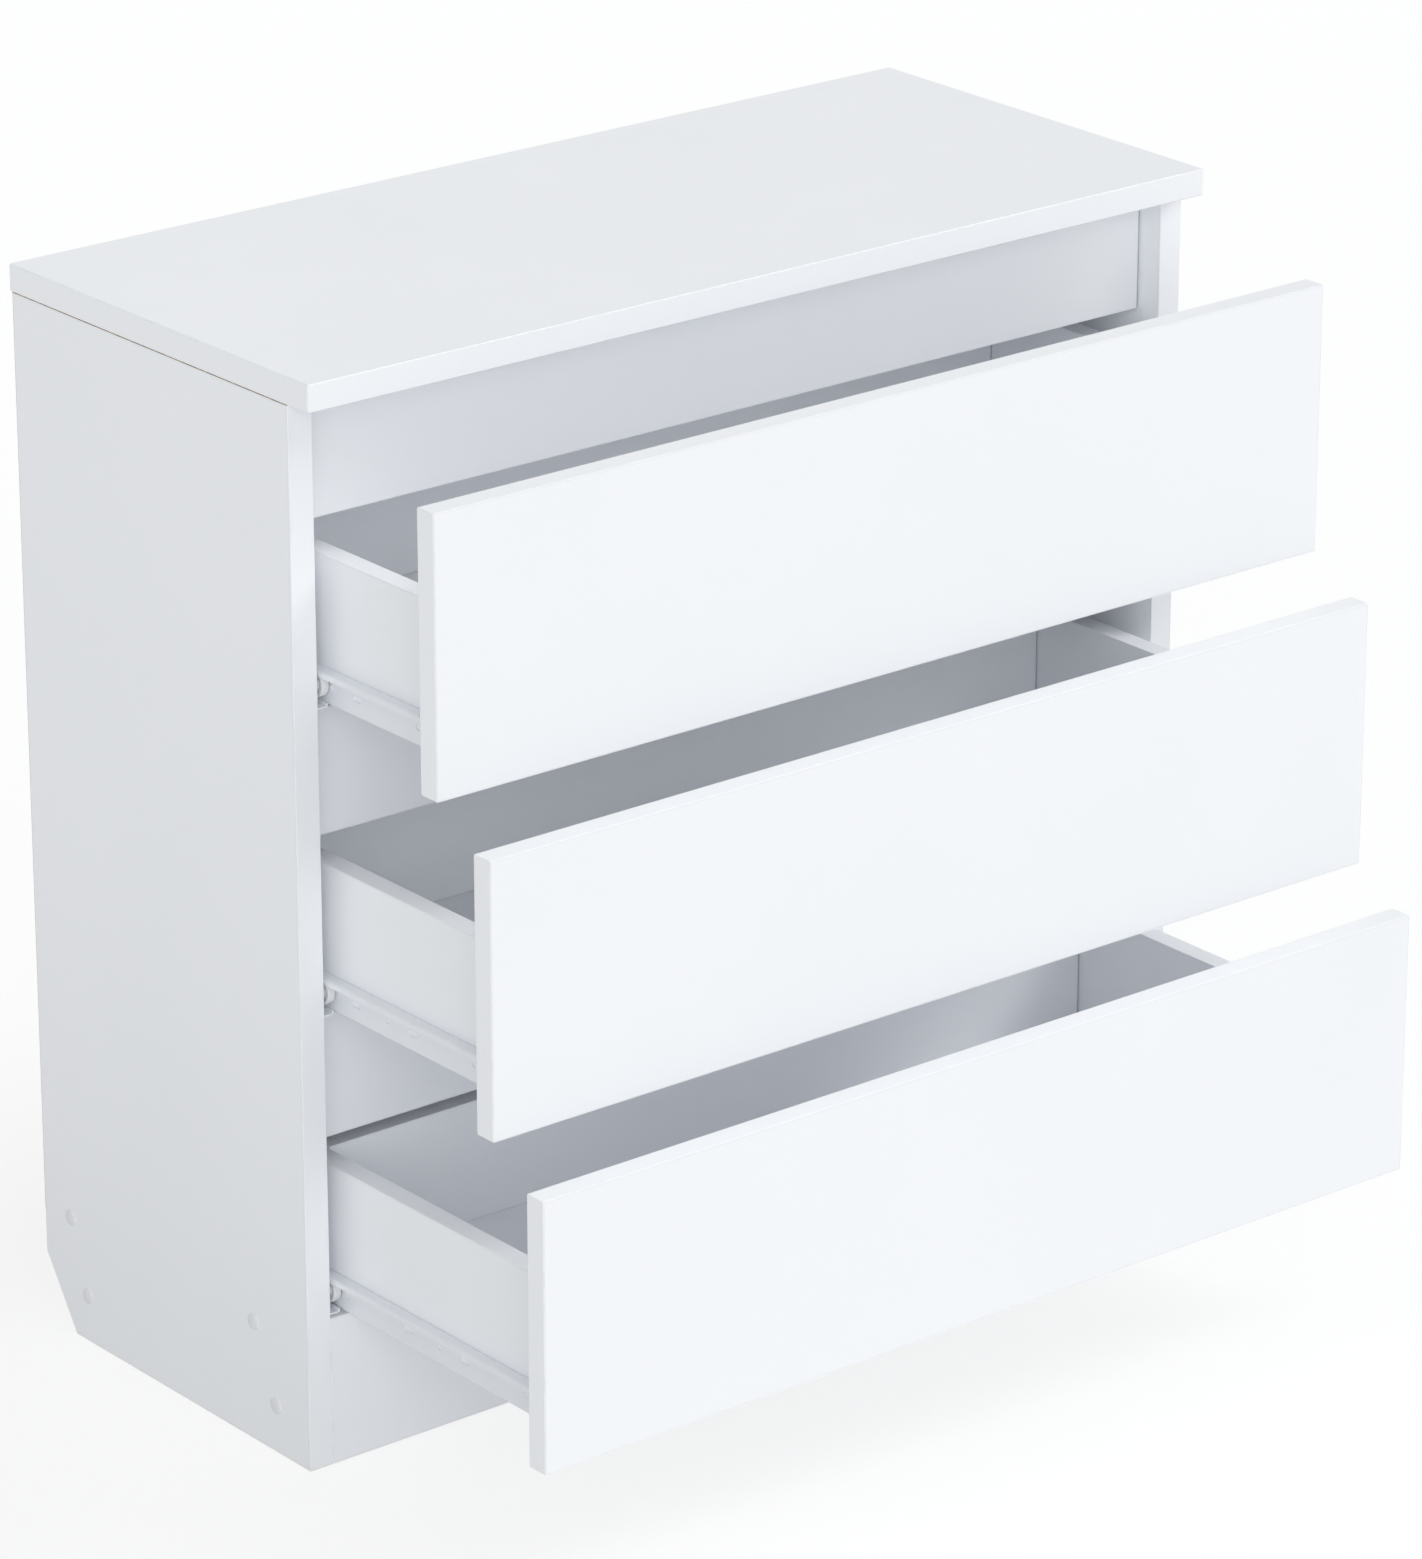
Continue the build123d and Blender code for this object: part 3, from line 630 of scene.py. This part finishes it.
def turnOutline(outline, segments=48, stand=Matrix.Identity(4)):
    # spins a (radius, height) outline about Z into a closed solid
    shell = bmesh.new()
    rings = []
    for radius, height in outline:
        if radius < 1e-7:
            rings.append([shell.verts.new((0, 0, height))])
            continue
        angles = [2 * math.pi * step / segments for step in range(segments)]
        rings.append([shell.verts.new((radius * math.cos(a), radius * math.sin(a), height)) for a in angles])
    pairs = list(zip(rings, rings[1:]))
    if len(rings[0]) > 1:
        pairs.append((rings[-1], rings[0]))
    for lower, upper in pairs:
        for step in range(segments):
            after = (step + 1) % segments
            corners = [lower[step % len(lower)], lower[after % len(lower)],
                       upper[after % len(upper)], upper[step % len(upper)]]
            shell.faces.new(list(dict.fromkeys(corners)))
    bmesh.ops.recalc_face_normals(shell, faces=shell.faces)
    bmesh.ops.transform(shell, matrix=stand, verts=shell.verts)
    return shell


def blockBetween(low, high):
    shell = bmesh.new()
    bmesh.ops.create_cube(shell, size=1.0)
    low, high = Vector(low), Vector(high)
    size = high - low
    bmesh.ops.transform(
        shell, matrix=Matrix.Translation((low + high) / 2) @ Matrix.Diagonal((*size, 1.0)), verts=shell.verts
    )
    return shell


def rod(radius, start, end, segments, stand):
    return turnOutline([(0, start), (radius, start), (radius, end), (0, end)], segments, stand)


def cappedLoops(loops):
    # a closed solid through loops of equally many points
    shell = bmesh.new()
    rings = [[shell.verts.new(point) for point in loop] for loop in loops]
    shell.faces.new(rings[0])
    shell.faces.new(rings[-1][::-1])
    for near, far in zip(rings, rings[1:]):
        for index in range(len(near)):
            after = (index + 1) % len(near)
            shell.faces.new([near[index], far[index], far[after], near[after]])
    bmesh.ops.recalc_face_normals(shell, faces=shell.faces)
    return shell


def sheetAlong(path, low, high):
    # a folded sheet, from the lowest to the highest y of its box
    section = foldedSection(path, runnerShape["sheet"], runnerShape["bend"])
    return cappedLoops([[(px, end, pz) for px, pz in section] for end in (low.y, high.y)])


def foldedSection(path, sheet, bend, steps=5):
    # the outline of a bent sheet whose middle follows a path of right-angled runs
    runs = [(Vector(b) - Vector(a)).normalized() for a, b in zip(path, path[1:])]
    lines = []
    for side in (1, -1):
        line = [Vector(path[0]) + Vector((-runs[0].y, runs[0].x)) * side * sheet / 2]
        for corner, before, after in zip(path[1:-1], runs, runs[1:]):
            inward = after - before  # points to the inside of the bend
            leftOf = Vector((-before.y, before.x)) * side
            radius = bend if leftOf.dot(inward) > 0 else bend + sheet
            centre = Vector(corner) + inward * (bend + sheet / 2)
            start = math.atan2(*(-after).yx)
            turn = math.atan2(before.x * after.y - before.y * after.x, before.dot(after))
            for step in range(steps + 1):
                angle = start + turn * step / steps
                line.append(centre + Vector((math.cos(angle), math.sin(angle))) * radius)
        line.append(Vector(path[-1]) + Vector((-runs[-1].y, runs[-1].x)) * side * sheet / 2)
        lines.append(line)
    return [tuple(point) for point in lines[0] + lines[1][::-1]]


def meshFrom(shell, name="scrap"):
    mesh = bpy.data.meshes.new(name)
    shell.to_mesh(mesh)
    shell.free()
    return mesh


def showObject(name, data):
    holder = bpy.data.objects.new(name, data)
    scene.collection.objects.link(holder)
    return holder


def joined(shells):
    whole = bmesh.new()
    for shell in shells:
        mesh = meshFrom(shell)
        whole.from_mesh(mesh)
        bpy.data.meshes.remove(mesh)
    return whole


def carved(shell, tools, operation="DIFFERENCE"):
    # takes closed shapes out of a shell, or welds them on
    holders = [showObject("scrap", meshFrom(content)) for content in (shell, joined(tools))]
    cut = holders[0].modifiers.new("cut", "BOOLEAN")
    cut.object, cut.operation, cut.solver = holders[1], operation, "EXACT"
    evaluated = holders[0].evaluated_get(bpy.context.evaluated_depsgraph_get())
    mesh = bpy.data.meshes.new_from_object(evaluated)
    result = bmesh.new()
    result.from_mesh(mesh)
    bpy.data.meshes.remove(mesh)
    for holder in holders:
        scrap = holder.data
        bpy.data.objects.remove(holder)
        bpy.data.meshes.remove(scrap)
    bmesh.ops.dissolve_degenerate(result, edges=result.edges, dist=0.000001)
    return result


def mirrored(shell):
    bmesh.ops.scale(shell, vec=(-1, 1, 1), verts=shell.verts)
    bmesh.ops.reverse_faces(shell, faces=shell.faces)
    return shell


def makePiece(name, shells, material, body, node):
    shell = joined(shells)
    for face in shell.faces:
        face.smooth = True
    for edge in shell.edges:
        edge.smooth = len(edge.link_faces) == 2 and edge.calc_face_angle() < sharpAngle
    piece = showObject(name, meshFrom(shell, name))
    piece.data.materials.append(material)
    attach(piece, body)
    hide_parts(node)


def middleOf(box):
    return (box[0] + box[1]) / 2


def axisDirection(axis, sign=1):
    direction = Vector((0, 0, 0))
    direction[axis] = sign
    return direction


# ---------- screws, caps, cams and dowels

capShape = {"rim": 0.0004, "stemRadius": 0.0019, "domeSteps": 8}


def makeCoverCaps():
    # domed caps, each with a stem in the socket of its screw
    face = abs(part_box("left_side")[0].x)
    shells = []
    for low, high in solidsIn("cover_caps"):
        outward = math.copysign(1, low.x)
        radius, dome = (high.y - low.y) / 2, max(abs(low.x), abs(high.x)) - face
        stem = face - min(abs(low.x), abs(high.x))
        outline = [(0, -stem), (capShape["stemRadius"], -stem), (capShape["stemRadius"], 0), (radius, 0)]
        for step in range(capShape["domeSteps"] + 1):
            angle = math.pi / 2 * step / capShape["domeSteps"]
            height = capShape["rim"] + (dome - capShape["rim"]) * math.sin(angle)
            outline.append((radius * math.cos(angle) if step < capShape["domeSteps"] else 0, height))
        middle = middleOf((low, high))
        shells.append(turnOutline(outline, 40, standAt((outward * face, middle.y, middle.z), (outward, 0, 0))))
    makePiece("coverCaps", shells, whiteCapPlastic, "carcass", "cover_caps")


screwShape = {
    "threadPitch": 0.0015, "threadDepth": 0.0004, "recess": 0.0021, "recessWing": 0.0007,
    "recessDepth": 0.0016, "smallHead": 0.0034, "smallShank": 0.00175, "smallLength": 0.015,
    "boardHead": 0.00475, "boardShank": 0.0035, "boardThread": 0.0032, "boardLength": 0.050,
    "headRim": 0.0012, "headSlope": 1.25, "shankEnd": 0.016, "hexAcross": 0.0040, "hexDepth": 0.0028,
    "hexPoint": 0.0008, "threadGap": 0.001, "smallTip": 0.002, "boardTip": 0.004,
}
easeReach = 0.0003  # how far small corners are eased
spare = 0.001  # how far a cutter starts outside what it cuts


def threadedOutline(radius, start, end):
    # ridges of a thread, as close rings
    pitch, depth = screwShape["threadPitch"], screwShape["threadDepth"]
    count = int((end - start) / pitch)
    outline = []
    for turn in range(count):
        foot = start + turn * pitch
        outline += [(radius - depth, foot), (radius - depth, foot + pitch * 0.4), (radius, foot + pitch * 0.7)]
    return outline + [(radius - depth, start + count * pitch)]


def crossTools(size, wing, depth):
    # the wings of a cross recess, cut down from the head
    reach = 0.0005
    return [blockBetween((-size, -wing / 2, -reach), (size, wing / 2, depth)),
            blockBetween((-wing / 2, -size, -reach), (wing / 2, size, depth))]


def smallScrew():
    # countersunk chipboard screw with a cross recess, its head at the origin and its tip along Z
    s = screwShape
    cone = s["smallHead"] - s["smallShank"]
    outline = [(0, 0), (s["smallHead"], 0), (s["smallShank"], cone)]
    outline += threadedOutline(s["smallShank"], cone + s["threadGap"], s["smallLength"] - s["smallTip"])
    outline.append((0, s["smallLength"]))
    shell = turnOutline(outline, 32)
    horizontal, upright = crossTools(s["recess"], s["recessWing"], s["recessDepth"])
    return carved(carved(shell, [horizontal]), [upright])


def boardScrew():
    # confirmat with a hexagon socket, its head at the origin and its tip along Z
    s = screwShape
    cone = s["headRim"] + (s["boardHead"] - s["boardShank"]) * s["headSlope"]
    outline = eased([(0, 0), (s["boardHead"], 0), (s["boardHead"], s["headRim"])], easeReach)
    outline += [(s["boardShank"], cone), (s["boardShank"], s["shankEnd"])]
    threadStart, threadEnd = s["shankEnd"] + s["threadGap"], s["boardLength"] - s["boardTip"]
    outline += threadedOutline(s["boardThread"], threadStart, threadEnd)
    outline.append((0, s["boardLength"]))
    shell = turnOutline(outline, 40)
    corner = s["hexAcross"] / math.sqrt(3)
    socket = [(0, -spare), (corner, -spare), (corner, s["hexDepth"]), (0, s["hexDepth"] + s["hexPoint"])]
    return carved(shell, [turnOutline(socket, 6)])


def copyTo(template, stand):
    shell = template.copy()
    bmesh.ops.transform(shell, matrix=stand, verts=shell.verts)
    return shell


def screwsFor(node, screw, along, across=None):
    # a screw for each solid of a node, its head where the solid starts; the way in is mirrored on the left
    shells = []
    for low, high in solidsIn(node):
        inward = Vector((along[0] * math.copysign(1, low.x), along[1], along[2]))
        head = middleOf((low, high)) - inward * abs((high - low).dot(inward)) / 2
        shells.append(copyTo(screw, standAt(head, inward, across)))
    return shells


def makeScrews():
    small, board = smallScrew(), boardScrew()
    node = "cabinet_runner_screws"
    shells = screwsFor(node, small, (1, 0, 0), (0, 1, 1))
    makePiece("cabinetRunnerScrews", shells, zincPlate, "carcass", node)
    drawerScrews = (("runner", small, (0, 0, 1), (1, 1, 0)), ("box", board, (-1, 0, 0), None))
    for name in drawerNames:
        for kind, screw, along, across in drawerScrews:
            node = f"{name}_drawer_{kind}_screws"
            shells = screwsFor(node, screw, along, across)
            makePiece(f"{name}Drawer{kind.title()}Screws", shells, zincPlate, f"{name}_drawer",
                      node)
    small.free()
    board.free()


camShape = {
    "rimWidth": 0.0009, "faceSink": 0.0004, "cross": 0.0034, "crossWing": 0.0014, "crossDepth": 0.0026,
    "pointer": 0.0008, "pointerDepth": 0.0009, "pointerPlace": 0.68,
    "eyeRadius": 0.0038, "eyePast": 0.0030, "eyeReach": 1.5, "neckRadius": 0.0018, "neck": 0.0040, "head": 0.0030,
    "headRadius": 0.0033, "thread": 0.0110, "threadGap": 0.0005, "tip": 0.001, "boltRadius": 0.0030,
    "shortestBolt": 0.03,
}


def camHousing(radius, depth, axisDepth):
    # cam with a raised rim, a cross slot and the eye that takes the bolt, its face at z = 0
    c = camShape
    inner = radius - c["rimWidth"]
    outline = [(0, c["faceSink"]), (inner, c["faceSink"]), (inner, 0), (radius, 0), (radius, depth), (0, depth)]
    shell = turnOutline(eased(outline, easeReach, steps=2), 48)
    along, across = crossTools(c["cross"], c["crossWing"], c["crossDepth"])
    pointerPlace = Matrix.Translation((radius * c["pointerPlace"], 0, 0))
    pointer = rod(c["pointer"], -spare, c["pointerDepth"], 3, pointerPlace)
    eye = rod(c["eyeRadius"], -c["eyePast"], radius * c["eyeReach"], 32, standAt((0, 0, axisDepth), (1, 0, 0)))
    return carved(carved(carved(shell, [along]), [across]), [pointer, eye])


def camBolt(length):
    # bolt with its head at the origin and its thread at the far end along Z
    c = camShape
    outline = [(0, 0), (c["headRadius"], 0), (c["headRadius"], c["head"]), (c["neckRadius"], c["head"]),
               (c["neckRadius"], c["head"] + c["neck"]), (c["boltRadius"], c["head"] + c["neck"])]
    outline = eased(outline, easeReach, steps=2)
    outline.append((c["boltRadius"], length - c["thread"] - c["threadGap"]))
    outline += threadedOutline(c["boltRadius"], length - c["thread"], length - c["tip"])
    outline.append((0, length))
    return turnOutline(outline, 32)


def makeCams(name, node, body):
    # every housing is turned to meet the bolt whose head is at its axis
    housings, bolts = [], []
    for low, high in solidsIn(node):
        size = high - low
        (bolts if max(size) > camShape["shortestBolt"] else housings).append((low, high))
    shells = []
    for housing in housings:
        size, centre = housing[1] - housing[0], middleOf(housing)
        axis = min(range(3), key=lambda index: size[index])
        outward = axisDirection(axis, -math.copysign(1, centre.x) if axis == 0 else 1)
        face = centre + outward * size[axis] / 2
        bolt = min(bolts, key=lambda other: (middleOf(other) - centre).length)
        boltSize = bolt[1] - bolt[0]
        run = max(range(3), key=lambda index: boltSize[index])
        toMate = axisDirection(run, math.copysign(1, middleOf(bolt)[run] - centre[run]))
        axisDepth = abs((middleOf(bolt) - face)[axis])
        head = face - outward * axisDepth
        radius = max(size) / 2
        shells.append(copyTo(camHousing(radius, size[axis], axisDepth), standAt(face, -outward, toMate)))
        shells.append(copyTo(camBolt(boltSize[run]), standAt(head, toMate)))
    makePiece(name, shells, zincPlate, body, node)


dowelShape = {"flutes": 20, "fluteDepth": 0.00022, "chamfer": 0.001}


def makeDowels():
    # fluted beech dowels with chamfered ends
    shells, chamfer = [], dowelShape["chamfer"]
    for low, high in solidsIn("carcass_dowels"):
        size, centre = high - low, middleOf((low, high))
        run = max(range(3), key=lambda index: size[index])
        radius, half = min(size) / 2, size[run] / 2
        loops = []
        for shrink, height in ((chamfer, -half), (0, chamfer - half), (0, half - chamfer), (chamfer, half)):
            loop = []
            for step in range(2 * dowelShape["flutes"]):
                angle = math.pi * step / dowelShape["flutes"]
                reach = radius - shrink - (dowelShape["fluteDepth"] if step % 2 else 0)
                loop.append((reach * math.cos(angle), reach * math.sin(angle), height))
            loops.append(loop)
        shell = cappedLoops(loops)
        bmesh.ops.transform(shell, matrix=standAt(centre, axisDirection(run)), verts=shell.verts)
        shells.append(shell)
    makePiece("carcassDowels", shells, beechWood, "carcass", "carcass_dowels")


makeCoverCaps()
makeScrews()
makeCams("carcassCamFittings", "carcass_cam_fittings", "carcass")
for name in drawerNames:
    makeCams(f"{name}DrawerCamFittings", f"{name}_drawer_cam_fittings", f"{name}_drawer")
makeDowels()
for node in ("carcass_screws", "back_nails"):
    finishNode(node, zincPlate)
print("fasteners made")


# ---------- runners and rollers

runnerShape = {
    "sheet": 0.0012, "bend": 0.0007, "lip": 0.0030, "lipPlace": 0.0026, "channelWidth": 0.0096,
    "openFront": 0.032, "holeRadius": 0.0022, "holeLift": 0.0132, "slotLength": 0.010,
    "holes": (0.038, 0.134, 0.240), "slots": (0.106, 0.170), "studRadius": 0.0020,
    "studHead": 0.0033, "studCap": 0.0006, "screwHead": 0.0035, "screwShank": 0.0018,
    "wellDepth": 0.004, "cutReach": 0.003, "slotEase": 0.002,
}
rollerShape = {
    "hub": 0.0050, "rim": 0.0024, "dish": 0.0012, "bore": 0.00206, "ease": 0.0005, "ribs": 6,
    "ribWidth": 0.0008, "ribSink": 0.0004, "ribSet": 0.0006,
}


def screwWell(place, along):
    # room for a countersunk screw, a hair wider than the screw
    r = runnerShape
    cone = r["screwHead"] - r["screwShank"]
    outline = [(0, -spare), (r["screwHead"] + spare, -spare), (r["screwShank"], cone),
               (r["screwShank"], r["wellDepth"]), (0, r["wellDepth"])]
    return turnOutline(outline, 32, standAt(place, along))


def withStud(shell, place, length, headPlace):
    # welds on a pin with a riveted head, along X from place
    r = runnerShape
    stand = standAt(place, (1, 0, 0))
    outline = [(0, 0), (r["studHead"], 0), (r["studHead"], r["studCap"]), (0, r["studCap"])]
    head = turnOutline(eased(outline, easeReach), 32, stand @ Matrix.Translation((0, 0, headPlace)))
    pin = rod(r["studRadius"], 0, length, 28, stand)
    return carved(carved(shell, [pin], "UNION"), [head], "UNION")


def leftRoller(node):
    return min(solidsIn(node), key=lambda box: box[0].x)


def drawerRunner(name):
    # sheet folded round the drawer side's lower edge, with the flange that the front roller carries
    r = runnerShape
    low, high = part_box(f"{name}_drawer_left_runner")
    wall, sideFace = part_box("left_side")[1].x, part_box(f"{name}_drawer_left_side")[0].x
    half = r["sheet"] / 2
    path = [
        (wall + r["lipPlace"] + half, high.z - r["sheet"] - r["lip"]),
        (wall + r["lipPlace"] + half, high.z - half),
        (sideFace - half, high.z - half),
        (sideFace - half, low.z + half),
        (high.x, low.z + half),
    ]
    shell = sheetAlong(path, low, high)
    tools = []
    lift, reach, radius = low.z + r["holeLift"], r["cutReach"], r["holeRadius"]
    for place in r["holes"]:
        stand = standAt((sideFace - reach, low.y + place, lift), (1, 0, 0))
        tools.append(rod(radius, 0, 2 * reach, 28, stand))
    for place in r["slots"]:
        near, far = low.y + place - r["slotLength"] / 2, low.y + place + r["slotLength"] / 2
        slot = [(near, lift - radius), (far, lift - radius), (far, lift + radius), (near, lift + radius)]
        slot = eased(slot, r["slotEase"], True)
        tools.append(cappedLoops([[(sideFace + depth, py, pz) for py, pz in slot] for depth in (-reach, reach)]))
    for box in solidsIn(f"{name}_drawer_runner_screws"):
        if box[0].x < 0:
            tools.append(screwWell((middleOf(box).x, middleOf(box).y, low.z), (0, 0, 1)))
    shell = carved(shell, tools)
    roller = middleOf(leftRoller(f"{name}_rear_rollers"))
    return withStud(shell, (low.x, roller.y, roller.z), sideFace - half - low.x, 0.0)


def cabinetRunner(name):
    # channel with inturned lips, open above its front roller
    r = runnerShape
    low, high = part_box(f"{name}_left_cabinet_runner")
    half, outer = r["sheet"] / 2, low.x + r["channelWidth"] - r["sheet"] / 2
    path = [(outer, low.z + r["lip"]), (outer, low.z + half), (low.x + half, low.z + half),
            (low.x + half, high.z - half), (outer, high.z - half), (outer, high.z - r["lip"])]
    shell = sheetAlong(path, low, high)
    shell = carved(shell, [blockBetween((low.x + r["sheet"], low.y - spare, high.z - r["lip"] - spare),
                                        (outer + spare, low.y + r["openFront"], high.z + spare))])
    tools = []
    for box in solidsIn("cabinet_runner_screws"):
        middle = middleOf(box)
        if middle.x < 0 and low.z < middle.z < high.z:
            tools.append(screwWell((low.x + r["sheet"], middle.y, middle.z), (-1, 0, 0)))
    shell = carved(shell, tools)
    roller = middleOf(leftRoller(f"{name}_front_rollers"))
    length = high.x - low.x - half
    return withStud(shell, (low.x + half, roller.y, roller.z), length, length - r["studCap"])


def rollerShell(low, high):
    # dished nylon wheel with a hub, a rim and ribs between them
    w = rollerShape
    radius, width = (high.z - low.z) / 2, high.x - low.x
    rim = radius - w["rim"]
    outline = [(w["bore"], 0), (w["hub"], 0), (w["hub"], w["dish"]), (rim, w["dish"]), (rim, 0), (radius, 0),
               (radius, width), (rim, width), (rim, width - w["dish"]), (w["hub"], width - w["dish"]),
               (w["hub"], width), (w["bore"], width)]
    stand = standAt((low.x, middleOf((low, high)).y, middleOf((low, high)).z), (1, 0, 0))
    ring = turnOutline(eased(outline, w["ease"], True, 3), 56, stand)
    ribs = []
    for step in range(w["ribs"]):
        turn = Matrix.Rotation(2 * math.pi * step / w["ribs"], 4, "Z")
        rib = blockBetween((w["hub"] - w["ribSet"], -w["ribWidth"] / 2, w["ribSink"]),
                           (rim + w["ribSet"], w["ribWidth"] / 2, width - w["ribSink"]))
        bmesh.ops.transform(rib, matrix=stand @ turn, verts=rib.verts)
        ribs.append(rib)
    return carved(ring, ribs, "UNION")


def makeRunners():
    for name in drawerNames:
        for side in sides:
            for kind, make, body in (("Drawer", drawerRunner, f"{name}_drawer"),
                                     ("Cabinet", cabinetRunner, "carcass")):
                shell = make(name)
                node = f"{name}_drawer_{side}_runner" if kind == "Drawer" else f"{name}_{side}_cabinet_runner"
                if side == "right":
                    shell = mirrored(shell)
                makePiece(f"{name}{side.title()}{kind}Runner", [shell], epoxySteel, body,
                          node)
        for end in ("front", "rear"):
            node = f"{name}_{end}_rollers"
            shells = [rollerShell(low, high) for low, high in solidsIn(node)]
            makePiece(f"{name}{end.title()}Rollers", shells, whiteNylon, node, node)


makeRunners()
print("runners and rollers made")


# ---------- floor, light and camera

studio = {
    "floorReach": 30.0, "floorDrop": 0.0002, "floorTone": 0.8, "floorShown": 0.25, "floorGlow": 0.76,
    "skyLight": 0.6, "skySeen": 0.97, "skyColour": (0.965, 0.985, 1.0, 1), "bounces": 12,
    "keyStrength": 1.12, "keyTurn": 62.0, "keyHeight": 44.0, "keySpread": 30.0,
    "fillStrength": 1.0, "fillTurn": -34.0, "fillHeight": 13.0, "fillSpread": 50.0,
}


def makeFloor():
    shell = bmesh.new()
    bmesh.ops.create_circle(shell, cap_ends=True, segments=96, radius=studio["floorReach"])
    bmesh.ops.translate(shell, verts=shell.verts, vec=(0, 0, cadLow.z - studio["floorDrop"]))
    floor = showObject("studioFloor", meshFrom(shell, "studioFloor"))
    material, tree, shader, point = newFinish("paleFloor")[:4]
    speck = noise(tree, point, 900.0, 2.0, 0.5)
    path = addNode(tree, "ShaderNodeLightPath")
    tone, shown = studio["floorTone"], studio["floorShown"]
    pale = mixColour(tree, path.outputs["Is Camera Ray"], (tone, tone, tone, 1), (shown, shown, shown, 1))
    plug(tree, shader["Base Color"],
         mixColour(tree, calc(tree, "MULTIPLY", speck, 0.03), pale, (0, 0, 0, 1)))
    plug(tree, shader["Roughness"], remap(tree, speck, 0.3, 0.7, 0.75, 0.85))
    glow = calc(tree, "MULTIPLY", path.outputs["Is Camera Ray"], studio["floorGlow"])
    shader["Emission Color"].default_value = (1, 1, 1, 1)
    plug(tree, shader["Emission Strength"], glow)
    shader["Specular IOR Level"].default_value = 0.1
    floor.data.materials.append(material)


def aimed(name, data, turn, height):
    # an object that looks from the side given by a turn and a height, and the direction of that side
    turn, height = math.radians(turn), math.radians(height)
    back = Vector((math.sin(turn) * math.cos(height), -math.cos(turn) * math.cos(height), math.sin(height)))
    holder = showObject(name, data)
    holder.rotation_mode = "QUATERNION"
    holder.rotation_quaternion = back.to_track_quat("Z", "Y")
    return holder, back


def addLamp(name, strength, turn, height, spread):
    # a soft lamp so far off that its light falls evenly
    lamp = bpy.data.lights.new(name, "SUN")
    lamp.energy = strength
    lamp.angle = math.radians(spread)
    aimed(name, lamp, turn, height)


def makeLight():
    world = bpy.data.worlds.new("studioSky")
    world.use_nodes = True
    tree = world.node_tree
    tree.nodes.clear()
    sky = addNode(tree, "ShaderNodeBackground")
    output = addNode(tree, "ShaderNodeOutputWorld")
    path = addNode(tree, "ShaderNodeLightPath")
    strength = remap(tree, path.outputs["Is Camera Ray"], 0.0, 1.0, studio["skyLight"], studio["skySeen"])
    tint = mixColour(tree, path.outputs["Is Camera Ray"], studio["skyColour"], (1, 1, 1, 1))
    plug(tree, sky.inputs["Color"], tint)
    plug(tree, sky.inputs["Strength"], strength)
    tree.links.new(sky.outputs[0], output.inputs["Surface"])
    scene.world = world
    for lamp in ("key", "fill"):
        values = [studio[lamp + word] for word in ("Strength", "Turn", "Height", "Spread")]
        addLamp(lamp + "Light", *values)
    scene.cycles.max_bounces = studio["bounces"]
    scene.cycles.diffuse_bounces = studio["bounces"]


viewpoint = {
    "turn": -39.06, "height": 21.17, "distance": 5.2, "lens": 167.6, "sensor": 36.0,
    "aimForward": 0.0406, "aimHeight": 0.4071,
}


def makeCamera():
    data = bpy.data.cameras.new("viewCamera")
    data.lens = viewpoint["lens"]
    data.sensor_width = viewpoint["sensor"]
    camera, back = aimed("viewCamera", data, viewpoint["turn"], viewpoint["height"])
    aim = Vector((middleOf((cadLow, cadHigh)).x, viewpoint["aimForward"], viewpoint["aimHeight"]))
    camera.location = aim + back * viewpoint["distance"]
    scene.camera = camera


makeFloor()
makeLight()
makeCamera()
scene.view_settings.view_transform = "Standard"
print("studio ready")
